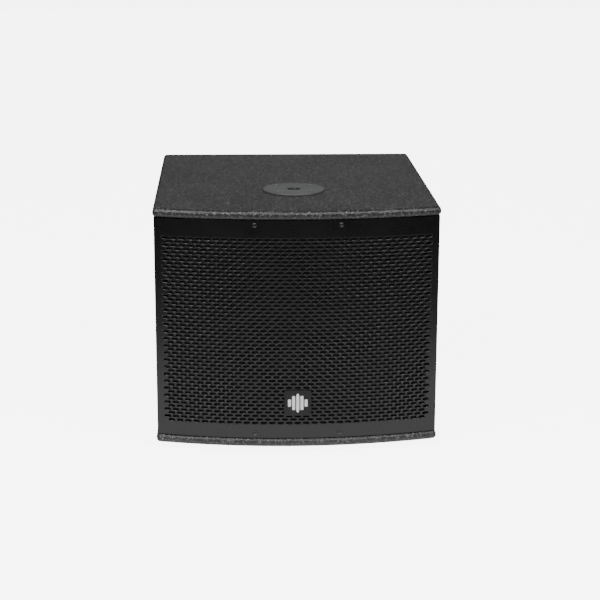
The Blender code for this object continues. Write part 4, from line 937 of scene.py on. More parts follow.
def grille_sheet():
    """The bowed sheet with its slots, plain bands and folded edges."""
    grille = settings().grille
    front, bend, straight, *_ = grille_path()
    field = front - grille.side_band
    half_s = field / grille.columns
    half_z = grille.row_pitch / 2
    low_z = GRILLE_LOW.z + grille.bottom_band
    sheet = Sheet()
    for row in range(grille.rows):
        z = low_z + (2 * row + 1) * half_z
        full = (grille.rows - 1 - row) % 2 == 0
        count = grille.columns if full else grille.columns - 1
        first = -field + (half_s if full else 2 * half_s)
        for column in range(count):
            slot_cell(sheet, first + 2 * half_s * column, z, half_s, half_z)
        if not full:
            plain_half_cell(sheet, field, z, half_s, half_z, 1)
            plain_half_cell(sheet, -field, z, half_s, half_z, -1)
    high_z = low_z + grille.rows * grille.row_pitch
    columns = [-field + half_s * i / 2 for i in range(4 * grille.columns + 1)]
    rows = [low_z + half_z * i for i in range(2 * grille.rows + 1)]
    edges = [front - grille.side_band * i / 3 for i in (2, 1, 0)]
    edges += [front + bend * i / 6 for i in range(1, 7)] + [front + bend + straight]
    right = [field, *edges]
    left = [-s for s in reversed(right)]
    below = [GRILLE_LOW.z, low_z - grille.bottom_band / 2, low_z]
    above = [high_z, (high_z + GRILLE_HIGH.z) / 2, GRILLE_HIGH.z]
    across, up = left[:-1] + columns + right[1:], below[:-1] + rows + above[1:]
    for lengths, heights in ((across, below), (across, above), (left, rows), (right, rows)):
        for s0, s1 in zip(lengths, lengths[1:]):
            for z0, z1 in zip(heights, heights[1:]):
                sheet.face(((s0, z0), (s1, z0), (s1, z1), (s0, z1)))
    for z in (up[0], up[-1]):
        for s0, s1 in zip(across, across[1:]):
            sheet.edge((s0, z), (s1, z))
    for s in (across[0], across[-1]):
        for z0, z1 in zip(up, up[1:]):
            sheet.edge((s, z0), (s, z1))
    return sheet.bm


class CABINET_OT_grille(bpy.types.Operator):
    """Build the bowed steel grille with every slot cut through"""

    bl_idname = "cabinet.grille"
    bl_label = "Grille"

    def execute(self, context):
        finish_piece(
            "slotted_grille",
            grille_sheet(),
            "grille_coat",
            "grille_paint",
            replaces=("grille",),
            sharp=settings().grille.shading,
        )
        return {"FINISHED"}


class CABINET_OT_foam(bpy.types.Operator):
    """Build the foam sheet behind the grille"""

    bl_idname = "cabinet.foam"
    bl_label = "Foam"

    def execute(self, context):
        low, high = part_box("grille_foam")
        radius, centre_y = bow_circle()
        front = radius - (low.y - FRONT_Y)
        thickness = 0.0045
        clearance, ripple, ripples_per_metre = 0.0003, 0.00018, 160
        columns, rows = 96, 80
        bm = bmesh.new()
        grids = []
        for depth in (0.0, thickness):
            grid = []
            for j in range(rows + 1):
                z = low.z + (high.z - low.z) * j / rows
                line = []
                for i in range(columns + 1):
                    x = high.x * (2 * i / columns - 1)
                    spot = Vector((x * ripples_per_metre, z * ripples_per_metre, depth * 1000))
                    reach = front - depth - clearance + ripple * noise.noise(spot)
                    line.append(bm.verts.new((x, centre_y - math.sqrt(reach**2 - x**2), z)))
                grid.append(line)
            grids.append(grid)
        for number, grid in enumerate(grids):
            for j in range(rows):
                for i in range(columns):
                    quad = (grid[j][i], grid[j][i + 1], grid[j + 1][i + 1], grid[j + 1][i])
                    bm.faces.new(quad if number == 0 else quad[::-1])
        rims = [
            grid[0] + [line[-1] for line in grid[1:]] + grid[-1][-2::-1] + [line[0] for line in grid[-2:0:-1]]
            for grid in grids
        ]
        ring_faces(bm, rims[1], rims[0])
        finish_piece("foam_sheet", bm, "open_foam", "foam", replaces=("grille_foam",))
        return {"FINISHED"}


class CABINET_OT_badge(bpy.types.Operator):
    """Build the badge with its plain level-meter mark"""

    bl_idname = "cabinet.badge"
    bl_label = "Badge"

    def execute(self, context):
        badge = settings().badge
        low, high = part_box("badge")
        middle = (low + high) / 2
        side, depth = high.x - low.x, high.y - low.y
        plate = depth - badge.relief
        place = facing(FORWARD, (middle.x, high.y, middle.z))
        bm = bmesh.new()
        inner = side - 0.0030
        steps_in = (
            (side, 0.0), (side, plate - 0.0004), (side - 0.0003, plate - 0.0001),
            (side - 0.0010, plate), (inner + 0.0006, plate), (inner, plate - 0.0003),
        )
        loft(bm, [rounded_loop(width, width, badge.corner, height, 96) for width, height in steps_in])
        finish_piece("badge_plate", bm, "badge_face", "badge", place=place, replaces=("badge",))
        bm = bmesh.new()
        pitch = badge.bar_width + badge.bar_gap
        falloff, curve = 0.62, 1.3
        reach = (badge.bars - 1) / 2
        for number in range(badge.bars):
            away = abs(number - reach) / max(reach, 1)
            tall = badge.tallest * (1 - falloff * away**curve)
            part = bmesh.new()
            top = plate - 0.0003 + badge.relief
            soft_slab(part, badge.bar_width, tall, 0.0010, plate - 0.0006, top, 0.0002, 48)
            part.transform(Matrix.Translation(((number - reach) * pitch, 0, 0)))
            append(bm, part)
        finish_piece("badge_bars", bm, "white_print", "badge", place=place)
        return {"FINISHED"}


class CABINET_OT_front_screws(bpy.types.Operator):
    """Build the four grille screws"""

    bl_idname = "cabinet.front_screws"
    bl_label = "Grille Screws"

    def execute(self, context):
        radius, centre_y = bow_circle()
        mesh = pan_screw(0.0040, 0.0019, 0.013)
        for number in range(1, 5):
            name = f"grille_screw_{number}"
            middle = node_middle(name)
            # The solid's middle lies on its axis, which is square to the bow.
            out = Vector((middle.x, middle.y - centre_y, 0)).normalized()
            spot = Vector((0, centre_y, middle.z)) + out * (radius - GRILLE_SETBACK + 0.0002)
            finish_mesh(
                f"{name}_cross",
                mesh.copy(),
                "black_zinc",
                "screw_steel",
                place=facing(out, spot, 0.4 * number),
                replaces=(name,),
            )
        bpy.data.meshes.remove(mesh)
        return {"FINISHED"}


# Stand plate


def threaded_bore(bm, low, high, root, crest, pitch, steps=64):
    """The inside of a threaded hole, as a skin whose radius follows the thread's helix."""
    rows = int((high - low) / pitch * 8)
    rings = []
    for j in range(rows + 1):
        z = low + (high - low) * j / rows
        ring = []
        for i in range(steps):
            angle = 2 * math.pi * i / steps
            phase = (z / pitch - i / steps) % 1.0
            wave = abs(2 * phase - 1)
            fade = min(1, (high - z) / (pitch * 0.5), (z - low) / (pitch * 0.5))
            radius = root - (root - crest) * min(1, max(0, 1.35 * wave - 0.15)) * max(fade, 0)
            ring.append(bm.verts.new((radius * math.cos(angle), radius * math.sin(angle), z)))
        rings.append(ring)
    for lower, upper in zip(rings, rings[1:]):
        ring_faces(bm, upper, lower)
    return rings


class CABINET_OT_stand_plate(bpy.types.Operator):
    """Build the round stand plate with its thread and countersunk screws"""

    bl_idname = "cabinet.stand_plate"
    bl_label = "Stand Plate"

    def execute(self, context):
        low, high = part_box("stand_flange")
        centre = (low + high) / 2
        radius = (high.x - low.x) / 2
        top = high.z - TOP_HIGH.z
        under = low.z - TOP_HIGH.z
        steps = 128
        boss, seat = 0.017, 0.0116
        self.insert(under, top, centre, steps)
        bm = bmesh.new()
        outside = [
            (seat, under), (boss - 0.0005, under), (boss, under + 0.0005), (boss, 0.0003),
            (radius - 0.0003, 0.0003), (radius, 0.0006), (radius, top - 0.0012),
            (radius - 0.0004, top - 0.0004), (radius - 0.0012, top), (0.0150, top),
            (0.0142, top - 0.0002), (seat, top - 0.0011),
        ]
        turned_ring(bm, outside, steps)
        cutters, spots = [], []
        for number in range(1, 5):
            middle = node_middle(f"flange_screw_{number}")
            spot = Vector((middle.x - centre.x, middle.y - centre.y, 0))
            spots.append(spot)

            def sink(part, spot=spot):
                profile = [
                    (0, -0.004), (0.0021, -0.004), (0.0021, top - 0.0029), (0.0051, top - 0.0013),
                    (0.0054, top - 0.0003), (0.0058, top + 0.0002), (0.0058, top + 0.002),
                    (0, top + 0.002),
                ]
                lathe(part, profile, 48)
                part.transform(Matrix.Translation(spot))

            cutters.append(mesh_from(sink))
        mesh = cut_mesh(mesh_of(bm, "stand_plate"), cutters)
        place = Matrix.Translation((centre.x, centre.y, TOP_HIGH.z))
        finish_mesh(
            "stand_plate", mesh, "plate_coat", "plate_steel", place=place, replaces=("stand_flange",)
        )
        screw = countersunk_screw(0.0048, 0.0016, 0.015, 0.0017)
        for number, spot in enumerate(spots, 1):
            finish_mesh(
                f"flange_screw_{number}_cross",
                screw.copy(),
                "black_zinc",
                "screw_steel",
                place=place @ Matrix.Translation(spot + Vector((0, 0, top - 0.0012)))
                @ Matrix.Rotation(0.7 * number, 4, "Z"),
                replaces=(f"flange_screw_{number}",),
            )
        bpy.data.meshes.remove(screw)
        return {"FINISHED"}

    def insert(self, under, top, centre, steps):
        """The black steel insert, with the M20 thread down its inside."""
        bm = bmesh.new()
        root, crest, pitch = 0.0100, 0.0088, 0.0025
        rings = threaded_bore(bm, under + 0.0003, top - 0.0022, root, crest, pitch, steps)
        around = [(0.0110, under), (0.0114, under + 0.0004), (0.0114, top - 0.0016), (0.0108, top - 0.0014)]
        loops = [[bm.verts.new(p) for p in circle(r, z, steps)] for r, z in around]
        for lower, upper in zip([rings[0], *loops], [*loops, rings[-1]]):
            ring_faces(bm, lower, upper)
        bmesh.ops.recalc_face_normals(bm, faces=bm.faces)
        place = Matrix.Translation((centre.x, centre.y, TOP_HIGH.z))
        finish_piece("stand_thread", bm, "black_zinc", "screw_steel", place=place)


class CABINET_OT_feet(bpy.types.Operator):
    """Build the four rubber feet with their screws"""

    bl_idname = "cabinet.feet"
    bl_label = "Feet"

    def execute(self, context):
        screws = []
        screw = pan_screw(0.0042, 0.0020)
        for name in ("foot_front_left", "foot_front_right", "foot_rear_left", "foot_rear_right"):
            low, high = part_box(name)
            middle = (low + high) / 2
            radius, tall = (high.x - low.x) / 2, high.z - low.z
            bm = bmesh.new()
            profile = [
                (0, 0), (radius - 0.0006, 0), (radius, 0.0006), (radius, tall * 0.35),
                (radius * 0.965, tall * 0.48), (radius * 0.90, tall - 0.0014),
                (radius * 0.87, tall - 0.0004), (radius * 0.82, tall), (radius * 0.42, tall),
                (radius * 0.37, tall - 0.0006), (radius * 0.34, tall * 0.5), (0, tall * 0.5),
            ]
            lathe(bm, profile, 72)
            place = facing(DOWNWARD, (middle.x, middle.y, high.z))
            finish_piece(f"{name}_pad", bm, "soft_rubber", "foot_rubber", place=place, replaces=(name,))
            screws.append(place @ Matrix.Translation((0, 0, tall * 0.5)))
        screw_set("foot_screws", screw, screws)
        return {"FINISHED"}


# Handles and ports


class CABINET_OT_handles(bpy.types.Operator):
    """Build the moulded grips in both sides"""

    bl_idname = "cabinet.handles"
    bl_label = "Handles"

    def execute(self, context):
        screw = pan_screw(0.0038, 0.0018)
        for side, sign in (("left", -1), ("right", 1)):
            name = f"handle_{side}"
            low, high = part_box(name)
            middle = (low + high) / 2
            face = high.x if sign > 0 else low.x
            long, tall = high.y - low.y, high.z - low.z
            deep = high.x - low.x
            place = facing((sign, 0, 0), (face, middle.y, middle.z))
            pocket_long, pocket_tall = 0.117, 0.059
            ribs, rib_pitch, screw_inset = 9, 0.0115, 0.009
            bm = bmesh.new()
            rows = [
                (pocket_long + 0.0045, pocket_tall + 0.0045, 0.010, -deep + 0.0004),
                (pocket_long + 0.0050, pocket_tall + 0.0050, 0.012, -0.0024),
                (long, tall, 0.0010, -0.0020),
                (long, tall, 0.0010, -0.0006),
                (long - 0.0012, tall - 0.0012, 0.0014, 0.0),
                (pocket_long + 0.006, pocket_tall + 0.006, 0.014, 0.0),
                (pocket_long + 0.002, pocket_tall + 0.002, 0.013, -0.0014),
                (pocket_long, pocket_tall, 0.012, -0.005),
                (pocket_long - 0.003, pocket_tall - 0.002, 0.010, -deep + 0.012),
                (pocket_long - 0.008, pocket_tall - 0.006, 0.008, -deep + 0.0045),
                (pocket_long - 0.020, pocket_tall - 0.016, 0.006, -deep + 0.0030),
            ]
            loft(bm, rounded_loops(rows, 96))
            finish_piece(f"{name}_moulding", bm, "moulding", "moulding", place=place, replaces=(name,))
            bm = bmesh.new()
            for number in range(ribs):
                x = (number - (ribs - 1) / 2) * rib_pitch
                add_block(bm, (0.0050, 0.0022, 0.018), (x, pocket_tall / 2 - 0.0016, -0.022), 0.0007)
            finish_piece(f"{name}_grip_ribs", bm, "soft_rubber", "moulding", place=place)
            corners = [
                place
                @ Matrix.Translation((sx * (long / 2 - screw_inset), sy * (tall / 2 - screw_inset), 0.0))
                @ Matrix.Rotation(0.5 * sx + sy, 4, "Z")
                for sx in (-1, 1)
                for sy in (-1, 1)
            ]
            low_head = Matrix.Translation((0, 0, -0.0004))
            screw_set(f"{name}_screws", screw, [spot @ low_head for spot in corners])
        bpy.data.meshes.remove(screw)
        return {"FINISHED"}


class CABINET_OT_ports(bpy.types.Operator):
    """Build the two flared ports"""

    bl_idname = "cabinet.ports"
    bl_label = "Ports"

    def execute(self, context):
        baffle_front = node_low("baffle").y
        for side in ("left", "right"):
            name = f"port_{side}"
            low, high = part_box(name)
            middle = (low + high) / 2
            rim = (high.x - low.x) / 2
            length_back = high.y - baffle_front
            front = baffle_front - low.y
            bore, wall, flare_out, flare_deep = 0.035, 0.003, 0.0060, 0.012
            flare = [
                (bore + flare_out * (1 - math.cos(a)), front - flare_deep * (1 - math.sin(a)))
                for a in (math.pi / 2 * i / 10 for i in range(10, -1, -1))
            ]
            bm = bmesh.new()
            profile = [
                (bore, -length_back), (bore + wall, -length_back), (bore + wall, 0.0003), (rim, 0.0003),
                (rim, front - 0.0008), (rim - 0.0006, front), *flare,
            ]
            turned_ring(bm, profile)
            place = facing(FORWARD, (middle.x, baffle_front, middle.z))
            finish_piece(f"{name}_tube", bm, "moulding", "moulding", place=place, replaces=(name,))
        return {"FINISHED"}


# Driver


def driver_place():
    middle = node_middle("driver_basket")
    return facing(FORWARD, (middle.x, node_low("baffle").y, middle.z))


def depth_of(name):
    """A driver piece's lowest and highest height before the baffle's front face."""
    low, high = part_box(name)
    front = node_low("baffle").y
    return front - high.y, front - low.y


class CABINET_OT_driver(bpy.types.Operator):
    """Build the cone, dust cap and surround, and finish the motor"""

    bl_idname = "cabinet.driver"
    bl_label = "Driver"

    def execute(self, context):
        place = driver_place()
        back, edge = depth_of("cone")
        radius = node_size("cone").x / 2
        neck = node_size("voice_coil").x / 2 + 0.0003
        paper, collar, curve = 0.0012, 0.0021, 1.15
        front_points, back_points = [], []
        for i in range(13):
            share = i / 12
            r = neck + (radius - neck) * share
            z = back + collar + (edge - back - collar) * share**curve
            front_points.append((r, z))
            back_points.append((r, z - paper * 1.2))
        bm = bmesh.new()
        turned_ring(bm, back_points + front_points[::-1])
        finish_piece("paper_cone", bm, "cone_paper", "cone_paper", "cone_assembly", place, ("cone",))
        low, high = depth_of("dust_cap")
        cap = node_size("dust_cap").x / 2
        lip = 0.0015
        rise = high - low - lip
        bm = bmesh.new()
        quarter = [math.pi / 2 * i / 14 for i in range(14, -1, -1)]
        outer = [(cap * math.sin(a), low + lip + rise * math.cos(a)) for a in quarter]
        under = [(max(r - paper, 0), z - paper) for r, z in outer]
        under[-1] = (0, under[-1][1])
        outer[-1] = (0, outer[-1][1])
        lathe(bm, under[::-1] + outer, 96)
        finish_piece("dust_dome", bm, "cone_paper", "cone_paper", "cone_assembly", place, ("dust_cap",))
        low, _ = depth_of("surround")
        outer_foot = node_size("surround").x / 2
        roll, skin, foot = 0.011, 0.0010, 0.008
        middle = radius + roll + skin
        arc = [math.pi * i / 20 for i in range(21)]
        over = [(middle + roll * math.cos(a), low + skin + roll * math.sin(a)) for a in arc]
        bore = roll - skin
        inside = [(middle + bore * math.cos(a), low + 0.00002 + bore * math.sin(a)) for a in arc]
        profile = [
            (radius - foot, low), *inside[::-1], (outer_foot, low), (outer_foot, low + skin), *over,
            (radius - foot, low + skin),
        ]
        self.surround(profile, place, radius, radius + 2 * roll)
        for name, finish in (
            ("driver_basket", "cast_black"), ("driver_gasket", "open_foam"),
            ("driver_top_plate", "plated_steel"), ("driver_pole_piece", "plated_steel"),
            ("driver_magnet", "ferrite"), ("spider", "spider_cloth"), ("voice_coil", "copper"),
            ("driver_lead", "soft_rubber"),
        ):
            coat_node(name, finish)
        return {"FINISHED"}

    def surround(self, profile, place, inner, outer, steps=96, wedges=24):
        """The rubber roll, made in wedges round the axis."""
        finish = "soft_rubber"
        share = steps // wedges
        for wedge in range(wedges):
            bm = bmesh.new()
            turns = [2 * math.pi * (wedge * share + i) / steps for i in range(share + 1)]
            ribs = [[bm.verts.new((r * math.cos(a), r * math.sin(a), z)) for r, z in profile] for a in turns]
            for near, far in zip(ribs, ribs[1:]):
                ring_faces(bm, near, far)
            bm.faces.new(ribs[0])
            bm.faces.new(ribs[-1][::-1])
            piece = finish_piece(
                f"rubber_surround_{wedge + 1}", bm, finish, "surround_rubber", None, place, ("surround",)
            )
            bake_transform(piece)


# Rear panel


def rear_place(x, z, y=PLATE_FACE):
    return facing(BACKWARD, (x, y, z))


def rear_fitting(name):
    """A fitting's lowest corner, its size, how far it stands out of the plate and its place there."""
    low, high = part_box(name)
    middle = (low + high) / 2
    return low, high - low, high.y - PLATE_FACE, rear_place(middle.x, middle.z)


class CABINET_OT_amplifier(bpy.types.Operator):
    """Finish the amplifier's plate, heat sink and insides, and print its scales"""

    bl_idname = "cabinet.amplifier"
    bl_label = "Amplifier"

    def execute(self, context):
        for name, finish in (
            ("amp_plate", "amp_coat"), ("heat_sink", "anodised"), ("amp_tray", "plated_steel"),
            ("amp_board", "circuit_green"), ("transformer", "winding_tape"),
        ):
            coat_node(name, finish)
        low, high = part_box("amp_plate")
        inset = 0.0062
        spots = []
        for share in (0.0, 1 / 3, 2 / 3, 1.0):
            z = low.z + inset + (high.z - low.z - 2 * inset) * share
            spots += [(low.x + inset, z), (high.x - inset, z)]
        spots += [(0.0, low.z + inset), (0.0, high.z - inset)]
        screw = pan_screw(0.0038, 0.0022)
        places = [rear_place(x, z) @ Matrix.Rotation(7 * x + 11 * z, 4, "Z") for x, z in spots]
        screw_set("amp_plate_screws", screw, places)
        self.print_scales()
        return {"FINISHED"}

    def print_scales(self):
        """White ticks round both knobs and lines that frame the rows of fittings."""
        bm = bmesh.new()
        thick = 0.00012
        y = PLATE_FACE + thick / 2
        for name in ("level_knob", "crossover_knob"):
            centre = node_middle(name)
            for number in range(11):
                angle = math.radians(-150 + 30 * number)
                major = number % 5 == 0
                reach, tall = (0.0120, 0.0034) if major else (0.0112, 0.0020)
                spot = Vector((centre.x - reach * math.sin(angle), y, centre.z + reach * math.cos(angle)))
                turn = Matrix.Translation(spot) @ Matrix.Rotation(-angle, 4, "Y")
                bmesh.ops.create_cube(bm, size=1, matrix=turn @ Matrix.Diagonal((0.0006, thick, tall, 1)))
        plate_low, plate_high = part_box("amp_plate")
        socket = node_middle("input_socket_left")
        x0, x1 = plate_high.x - 0.018, plate_low.x + 0.018
        for z in (node_middle("level_knob").z - 0.0205, socket.z - 0.0245):
            place = Matrix.Translation(((x0 + x1) / 2, y, z))
            bmesh.ops.create_cube(bm, size=1, matrix=place @ Matrix.Diagonal((x0 - x1, thick, 0.0005, 1)))
        finish_piece("printed_scales", bm, "white_print", "amp_paint")


class CABINET_OT_knobs(bpy.types.Operator):
    """Build the ribbed knobs with their white pointers"""

    bl_idname = "cabinet.knobs"
    bl_label = "Knobs"

    def execute(self, context):
        for name in ("level_knob", "crossover_knob"):
            _, size, tall, place = rear_fitting(name)
            radius = size.x / 2
            steps, ribs = 144, 24
            levels = (
                (0.0, 0.0004, 0.96),
                (0.0, 0.0010, 1.0),
                (0.0, 0.0026, 1.0),
                (0.0, 0.0032, 0.95),
                (1.0, 0.0036, 0.90),
                (1.0, tall - 0.0016, 0.83),
                (0.5, tall - 0.0006, 0.80),
                (0.0, tall - 0.0001, 0.74),
                (0.0, tall - 0.0001, 0.64),
                (0.0, tall - 0.0005, 0.60),
                (0.0, tall - 0.0005, 0.20),
            )
            loops = []
            for depth, height, share in levels:
                loop = []
                for i in range(steps):
                    angle = 2 * math.pi * i / steps
                    wave = 0.5 + 0.5 * math.cos(ribs * angle)
                    r = radius * share * (1 - 0.055 * depth * wave)
                    loop.append((r * math.cos(angle), r * math.sin(angle), height))
                loops.append(loop)
            bm = bmesh.new()
            loft(bm, loops)
            lathe(bm, [(0, -0.009), (0.003, -0.009), (0.003, 0.0005), (0, 0.0005)], 24)
            finish_piece(f"{name}_cap", bm, "moulding", "moulding", name, place, (name,))
            bm = bmesh.new()
            add_block(bm, (0.0009, radius * 0.55, 0.0004), (0, radius * 0.50, tall - 0.0001), 0.0001)
            finish_piece(f"{name}_pointer", bm, "white_print", "moulding", name, place)
        return {"FINISHED"}


class CABINET_OT_switches(bpy.types.Operator):
    """Build the phase slider, ground-lift button, status lamp and power rocker"""

    bl_idname = "cabinet.switches"
    bl_label = "Switches"

    def execute(self, context):
        self.phase_slider()
        self.ground_button()
        self.lamp()
        self.rocker()
        return {"FINISHED"}

    def phase_slider(self):
        """The ridged slider in its plated bezel."""
        _, _, tall, place = rear_fitting("phase_switch")
        bm = bmesh.new()
        add_block(bm, (0.0029, 0.0029, tall + 0.0035), (0, 0, (tall - 0.0035) / 2), 0.0003)
        for number in (-1, 0, 1):
            add_block(bm, (0.0003, 0.0027, 0.0004), (number * 0.0008, 0, tall - 0.0001), 0.0001)
        add_block(bm, (0.0088, 0.0058, 0.0018), (0, 0, -0.0040), 0.0002)
        finish_piece("phase_lever", bm, "moulding", "moulding", "phase_switch", place, ("phase_switch",))
        bm = bmesh.new()
        rows = [
            (0.0130, 0.0074, 0.0012, 0.00005),
            (0.0130, 0.0074, 0.0012, 0.0005),
            (0.0122, 0.0066, 0.0010, 0.0008),
            (0.0086, 0.0042, 0.0006, 0.0008),
            (0.0084, 0.0040, 0.0005, 0.00005),
        ]
        hoop(bm, rounded_loops(rows, 48))
        middle = node_middle("phase_switch")
        bezel = rear_place(middle.x + joint("phase_slide")["range_m"][1] / 2, middle.z)
        finish_piece("phase_bezel", bm, "plated_steel", "contact_steel", place=bezel)

    def ground_button(self):
        """The round push button in its plated bezel."""
        _, _, tall, place = rear_fitting("ground_lift_button")
        bm = bmesh.new()
        profile = [
            (0, -0.0072), (0.0014, -0.0072), (0.0014, -0.0049), (0.0044, -0.0049), (0.0044, -0.0030),
            (0.0029, -0.0030), (0.0029, tall - 0.0006), (0.0027, tall - 0.0002), (0.0022, tall),
            (0.0014, tall - 0.0003), (0, tall - 0.0004),
        ]
        lathe(bm, profile, 48)
        finish_piece(
            "ground_button", bm, "glossy_moulding", "moulding", "ground_lift_button", place,
            ("ground_lift_button",),
        )
        bm = bmesh.new()
        profile = [
            (0.0036, 0.0), (0.0056, 0.0), (0.0056, 0.0007),
            (0.0050, 0.0012), (0.0038, 0.0012), (0.0036, 0.0010),
        ]
        turned_ring(bm, profile, 48)
        finish_piece("ground_bezel", bm, "plated_steel", "contact_steel", place=place)

    def lamp(self):
        """The green lens in its plated bezel."""
        _, _, tall, place = rear_fitting("status_lamp")
        radius = 0.0025
        bm = bmesh.new()
        dome = arc_profile(radius, 0.0001, tall, 8)
        stem = [(0, -0.0046), (0.0034, -0.0046), (0.0034, -0.0029), (radius, -0.0029)]
        lathe(bm, [*stem, *dome, (0, tall)], 48)
        finish_piece("lamp_lens", bm, "green_lens", "lamp", place=place, replaces=("status_lamp",))
        bm = bmesh.new()
        profile = [(0.0027, 0.0), (0.0042, 0.0), (0.0042, 0.0004), (0.0036, 0.0010), (0.0027, 0.0010)]
        turned_ring(bm, profile, 48)
        finish_piece("lamp_bezel", bm, "plated_steel", "contact_steel", place=place)

    def rocker(self):
        """The curved paddle with its on and off marks."""
        rock = joint("power_rock")
        pivot = Vector(rock["pos_m"])
        half_turn = math.radians(rock["range_deg"][1]) / 2
        width = node_size("power_rocker").x
        reach = 0.0117
        outline = []
        for i in range(9):
            angle = math.radians(-24 + 46 * i / 8)
            outline.append((reach * math.cos(angle), reach * math.sin(angle)))
        outline[-1] = (outline[-1][0] * 0.985, outline[-1][1])
        for share in (0.75, 0.5, 0.25):
            outline.append((outline[8][0] * share, reach * (0.23 + 0.155 * share**1.6)))
        outline.append((0, reach * 0.225))
        outline += [(-u, v) for u, v in outline[-2::-1]]
        bm = bmesh.new()
        shrink = 0.0004
        half = width / 2
        ends = ((-half, 0.985), (-half + shrink, 1.0), (half - shrink, 1.0), (half, 0.985))
        loft(bm, [[(x, v * scale, -u * scale) for u, v in outline] for x, scale in ends])
        place = Matrix.Translation(pivot) @ Matrix.Rotation(-half_turn, 4, "X")
        finish_piece(
            "rocker_paddle", bm, "glossy_moulding", "moulding", "power_rocker", place, ("power_rocker",), 30
        )
        bm = bmesh.new()
        lift = 0.5 * reach
        slope = math.atan2(reach * 0.155, reach)
        line = Matrix.Translation((0, reach * 0.285 + 0.00005, lift)) @ Matrix.Rotation(slope, 4, "X")
        bmesh.ops.create_cube(bm, size=1, matrix=line @ Matrix.Diagonal((0.0006, 0.0003, 0.0042, 1)))
        finish_piece("rocker_on_mark", bm, "white_print", "moulding", "power_rocker", place)
        bm = bmesh.new()
        profile = [(0.0014, 0.0), (0.0020, 0.0), (0.0020, 0.0002), (0.0014, 0.0002)]
        turned_ring(bm, profile, 32)
        mark = place @ Matrix.Translation((0, reach * 0.285 - 0.00005, -lift))
        mark = mark @ Matrix.Rotation(-slope, 4, "X") @ Matrix.Rotation(-math.pi / 2, 4, "X")
        finish_piece("rocker_off_mark", bm, "white_print", "moulding", "power_rocker", mark)
        coat_node("rocker_frame", "moulding")


